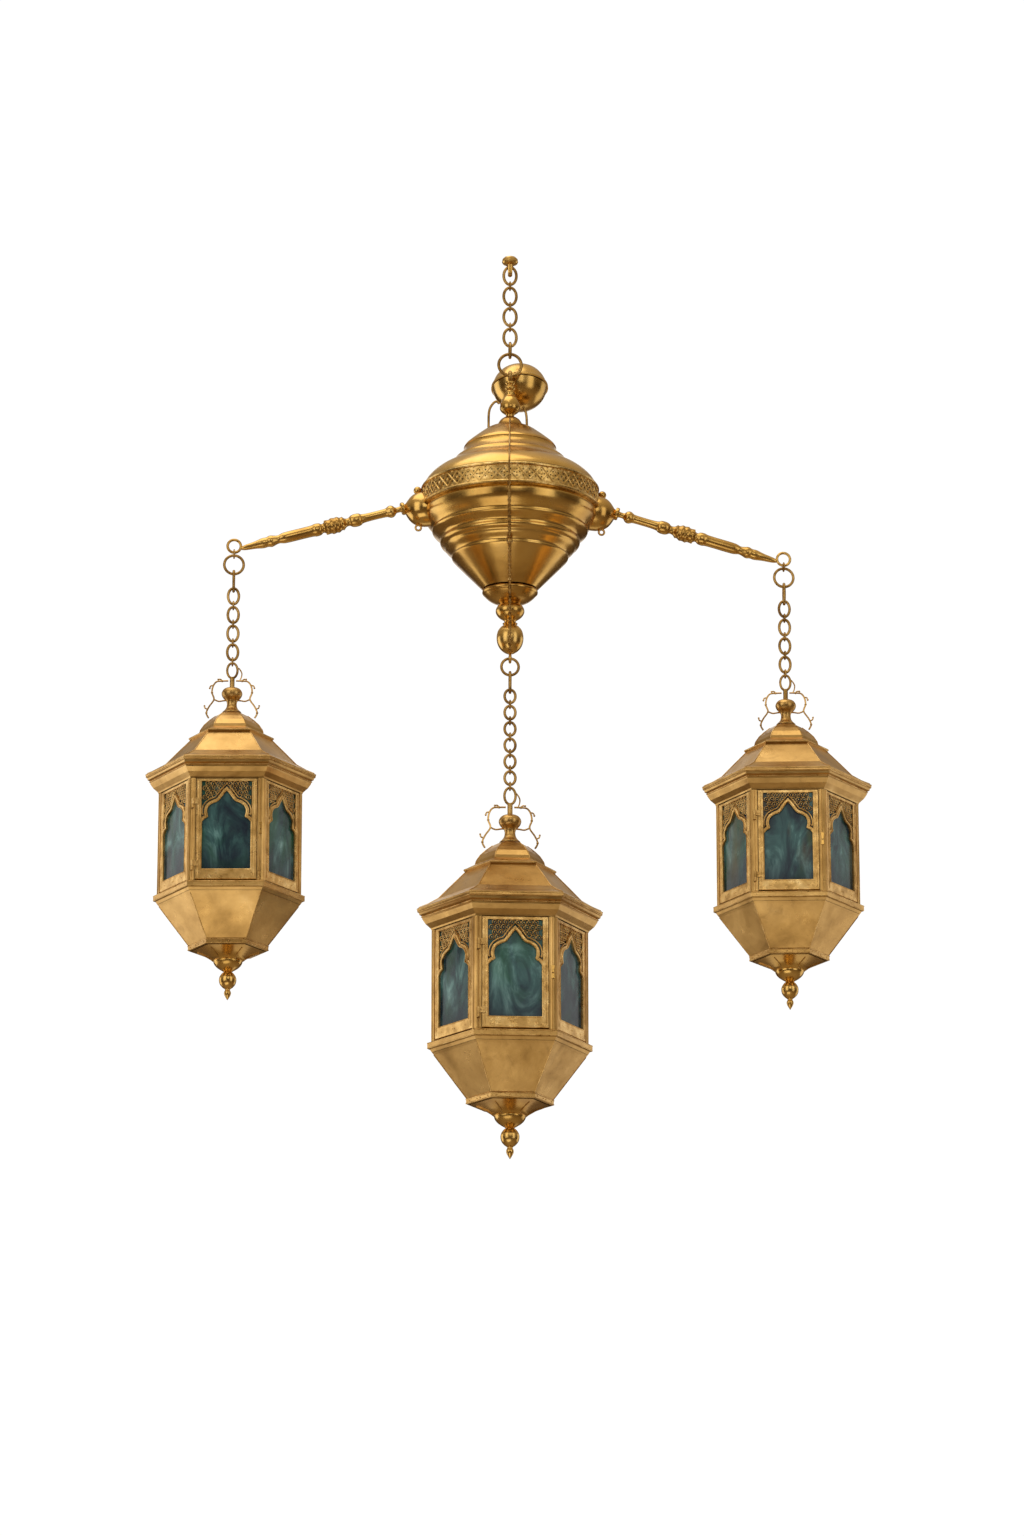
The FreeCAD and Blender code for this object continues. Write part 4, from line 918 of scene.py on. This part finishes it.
ARM_BAR = [(0, 0), (5.4, 0), (4.2, 5), (4.2, 11), (8.4, 14), (9.9, 19), (7.6, 24), (6.3, 26),
           (6.3, 64), (9.6, 67), (10.2, 75), (8.8, 81), (5.8, 84), (6.4, 90), (10.6, 94),
           (9.4, 97), (12.8, 102), (11.2, 105.5), (12.8, 110), (10.4, 114.5), (11.6, 119),
           (7, 124), (7, 127), (9.6, 130), (10, 138), (8.4, 141), (8.7, 184), (7.6, 190),
           (6, 195), (7.4, 201), (9.4, 207), (7.2, 213), (8.3, 219), (5.6, 231), (4.4, 246),
           (2.6, 253.5), (0, 255.6)]
# The ring at the arm's tip: distance out, height, ring radius and wire.
ARM_RING = (418.0, -477.0, 10.0, 4.2)
BOSS = [(0, -14), (25.6, -14), (26.6, -8), (27, 2), (25.6, 9), (22.6, 15.4), (18.2, 20.4),
        (13, 24.2), (9, 26.6), (7, 28.4), (6.4, 30.4), (0, 30.4)]
BOSS_START = 132.0
# The bead over a boss: distance out, height above its axis and radius.
BOSS_BEAD = (141.0, 29.5, 6.2)
# The curl under a boss: distance out, height above its axis, ring radius and wire.
BOSS_CURL = (139.6, -29.8, 4.2, 3.2)


def turned_arm(side, direction):
    """The turned arm with its ring, the collar at the boss and the rings of knurls."""
    mesh = bmesh.new()
    slope = math.radians(ARM_DROOP)
    along = Vector((direction * math.cos(slope), 0, -math.sin(slope)))
    start = Vector((direction * ARM_START, 0, BOSS_HEIGHT))
    aside = Vector((0, 1, 0))
    upward = along.cross(aside)
    place = (Matrix.Translation(start)
             @ Matrix.Rotation(direction * (math.pi / 2 + slope), 4, "Y"))
    spin(mesh, eased(ARM_BAR), place, 48)
    spin(mesh, [(radius, distance) for distance, radius in ARM_COLLAR], place, 48)
    for distance, radius, count, size in ARM_BEADS:
        for k in range(count):
            angle = 2 * math.pi * k / count
            spot = start + along * distance + radius * (aside * math.cos(angle)
                                                        + upward * math.sin(angle))
            bead(mesh, spot, size, 8)
    reach, height, radius, wire = ARM_RING
    ring(mesh, (direction * reach, 0, height), radius, wire, (0, 1, 0))
    carrier_piece(side + "_arm_turning", mesh, "polished_brass", side + "_arm")


def bosses():
    """The two round bosses, each with a bead on top and a curl below."""
    mesh = bmesh.new()
    for direction in (1, -1):
        place = (Matrix.Translation((direction * BOSS_START, 0, BOSS_HEIGHT))
                 @ Matrix.Rotation(direction * math.pi / 2, 4, "Y"))
        spin(mesh, eased(BOSS), place, 96)
        out, above, radius = BOSS_BEAD
        bead(mesh, (direction * out, 0, BOSS_HEIGHT + above), radius, 24)
        out, above, radius, wire = BOSS_CURL
        ring(mesh, (direction * out, 0, BOSS_HEIGHT + above), radius, wire, (0, 1, 0))
    carrier_piece("round_bosses", mesh, "polished_brass", "arm_bosses")


# Radius and height of the run of the front chain below the band.
FRONT_RUN = [(140.4, -398), (140.2, -412), (138.5, -424), (130, -441), (118.5, -452),
             (110, -465), (97, -483), (91, -494), (70, -515), (49, -538), (47.5, -546),
             (30, -559), (26.2, -568), (25.4, -576), (17, -586), (22.6, -598), (25.4, -611),
             (20.5, -628), (13, -637)]
FRONT_AZIMUTH = -5.0
LINK_PITCH = 4.4
LINK_WIRE = 0.8
LINK_HALF_LENGTH = 3.1
LINK_HALF_WIDTH = 2.0


def front_links():
    """Small links and beads of the chain that lies down the front of the body."""
    mesh = bmesh.new()
    turned = Matrix.Rotation(math.radians(FRONT_AZIMUTH), 4, "Z")
    travelled = 0.0
    number = 0
    for (r0, z0), (r1, z1) in zip(FRONT_RUN, FRONT_RUN[1:]):
        run = Vector((0, -(r1 - r0), z1 - z0))
        length = run.length
        heading = run.normalized()
        while travelled < length:
            centre = Vector((0, -r0, z0)) + heading * travelled
            aside = Vector((1, 0, 0)) if number % 2 else heading.cross(Vector((1, 0, 0)))
            oval = []
            for k in range(12):
                angle = 2 * math.pi * k / 12
                oval.append(turned @ (centre + heading * (LINK_HALF_LENGTH * math.cos(angle))
                                      + aside * (LINK_HALF_WIDTH * math.sin(angle))))
            tube(mesh, oval, LINK_WIRE, 6, True)
            if number % 11 == 5:
                bead(mesh, turned @ centre, 2.8, 8)
            travelled += LINK_PITCH
            number += 1
        travelled -= length
    carrier_piece("front_links", mesh, "antique_brass")


# ----------------------------------------------------------------------------- stage
ROOM_RADIUS = 13.0
ROOM_FLOOR = -6.4
ROOM_TOP = 8.0
ROOM_CURVE = 2.0
ROOM_STEPS = 64


def room():
    """A plain white studio: a floor that curves up into a round wall."""
    flat = ROOM_RADIUS - ROOM_CURVE
    profile = [(0.05, ROOM_FLOOR), (flat, ROOM_FLOOR)]
    for step in range(1, 8):
        angle = math.radians(90.0 * step / 8)
        profile.append((flat + ROOM_CURVE * math.sin(angle),
                        ROOM_FLOOR + ROOM_CURVE - ROOM_CURVE * math.cos(angle)))
    profile += [(ROOM_RADIUS, ROOM_FLOOR + ROOM_CURVE), (ROOM_RADIUS, ROOM_TOP),
                (0.05, ROOM_TOP + 3.0)]
    mesh = bmesh.new()
    loops = []
    for k in range(ROOM_STEPS):
        angle = 2 * math.pi * k / ROOM_STEPS
        loops.append([mesh.verts.new((radius * math.cos(angle), radius * math.sin(angle), up))
                      for radius, up in profile])
    for k in range(ROOM_STEPS):
        ahead = loops[(k + 1) % ROOM_STEPS]
        for i in range(len(profile) - 1):
            mesh.faces.new((loops[k][i], ahead[i], ahead[i + 1], loops[k][i + 1]))
    data = bpy.data.meshes.new("room")
    mesh.to_mesh(data)
    mesh.free()
    data.shade_smooth()
    paint = Shader("room_paint", 0.9, 0.0)
    greys = [(0.3, (0.02, 0.02, 0.02)), (0.7, (0.03, 0.03, 0.03))]
    paint.colour(paint.ramp(paint.noise(2.0), greys))
    paint.skin.inputs["Emission Color"].default_value = (1.0, 1.0, 1.0, 1.0)
    paint.skin.inputs["Emission Strength"].default_value = 1.0
    data.materials.append(paint.material)
    walls = bpy.data.objects.new("room", data)
    walls.visible_glossy = False
    walls.visible_shadow = False
    bpy.context.collection.objects.link(walls)


# Name, azimuth from the front, elevation, distance, width and height, and radiance.
SOFTBOXES = [
    ("front_left", -45, 10, 4.6, (2.6, 4.2), 1.35),
    ("front_right", 42, 6, 4.6, (2.0, 4.2), 1.15),
    ("front", 2, 16, 5.2, (1.7, 2.0), 1.45),
    ("left", -117, -6, 4.6, (2.8, 3.8), 1.3),
    ("right", 116, -6, 4.6, (2.8, 3.8), 0.85),
    ("back", 178, 16, 4.8, (2.6, 3.0), 0.7),
    ("top", -60, 76, 4.2, (4.2, 3.4), 1.35),
    ("low", -26, -52, 4.4, (3.2, 1.9), 1.1),
    ("low_back", 170, -48, 4.4, (3.0, 1.6), 0.45),
]
# Colour of the surroundings from straight down to straight up, seen only in the brass.
SURROUNDINGS = [(0.0, (0.34, 0.26, 0.17)), (0.36, (0.14, 0.095, 0.05)),
                (0.5, (0.05, 0.032, 0.015)), (0.62, (0.20, 0.155, 0.10)),
                (1.0, (0.70, 0.62, 0.50))]


def way_out(azimuth, elevation):
    """The direction from the object towards an azimuth from the front and an elevation."""
    turn = math.radians(azimuth)
    lift = math.radians(elevation)
    return Vector((math.sin(turn) * math.cos(lift), -math.cos(turn) * math.cos(lift),
                   math.sin(lift)))


def softbox(name, azimuth, elevation, distance, size, radiance, centre):
    """A large soft light on a sphere round the object, aimed at its middle."""
    way = way_out(azimuth, elevation)
    data = bpy.data.lights.new(name, "AREA")
    data.shape = "RECTANGLE"
    data.size, data.size_y = size
    data.energy = radiance * math.pi * size[0] * size[1]
    lamp = bpy.data.objects.new(name, data)
    lamp.location = centre + way * distance
    lamp.rotation_euler = (-way).to_track_quat("-Z", "Y").to_euler()
    lamp.visible_camera = False
    bpy.context.collection.objects.link(lamp)


def lights(centre):
    """Plain soft studio light from all round, with darker gaps between the boxes."""
    bpy.context.scene.view_settings.view_transform = "Standard"
    for row in SOFTBOXES:
        softbox(*row, centre)
    world = bpy.data.worlds.new("studio")
    world.use_nodes = True
    nodes = world.node_tree.nodes
    links = world.node_tree.links
    place = nodes.new("ShaderNodeTexCoord")
    split = nodes.new("ShaderNodeSeparateXYZ")
    span = nodes.new("ShaderNodeMapRange")
    span.inputs["From Min"].default_value = -1.0
    shades = nodes.new("ShaderNodeValToRGB")
    elements = shades.color_ramp.elements
    while len(elements) < len(SURROUNDINGS):
        elements.new(0.5)
    for element, (position, colour) in zip(elements, SURROUNDINGS):
        element.position = position
        element.color = (*colour, 1.0)
    links.new(place.outputs["Generated"], split.inputs["Vector"])
    links.new(split.outputs["Z"], span.inputs["Value"])
    links.new(span.outputs["Result"], shades.inputs["Fac"])
    links.new(shades.outputs["Color"], nodes["Background"].inputs["Color"])
    bpy.context.scene.world = world


LENS = 117.2
CAMERA_DISTANCE = 7.5
CAMERA_AZIMUTH = -4.5
CAMERA_ELEVATION = -15.2
# The camera aims a little to the right, and this far below the ceiling stud's top.
AIM_RIGHT = 0.003
AIM_DEPTH = 0.8153


def camera(centre):
    """A long lens below the object, looking up at it."""
    data = bpy.data.cameras.new("view")
    data.lens = LENS
    data.sensor_width = 36.0
    data.clip_end = 200.0
    view = bpy.data.objects.new("view", data)
    target = Vector((AIM_RIGHT, 0.0, centre.z))
    view.location = target + way_out(CAMERA_AZIMUTH, CAMERA_ELEVATION) * CAMERA_DISTANCE
    view.rotation_euler = (target - view.location).to_track_quat("-Z", "Y").to_euler()
    bpy.context.collection.objects.link(view)
    bpy.context.scene.camera = view


# ----------------------------------------------------------------------------- build
dress_cad()
for name in SIDES:
    hung = Lantern(name)
    fixed_panels(hung)
    door_panel(hung)
    corner_posts(hung)
    seams(hung)
    knob_and_scrolls(hung)
    foot(hung)
spun_body()
band()
turned_arm("left", -1)
turned_arm("right", 1)
bosses()
front_links()
room()
aim_point = Vector((0.0, 0.0, cad_high[2] - AIM_DEPTH))
lights(aim_point)
camera(aim_point)
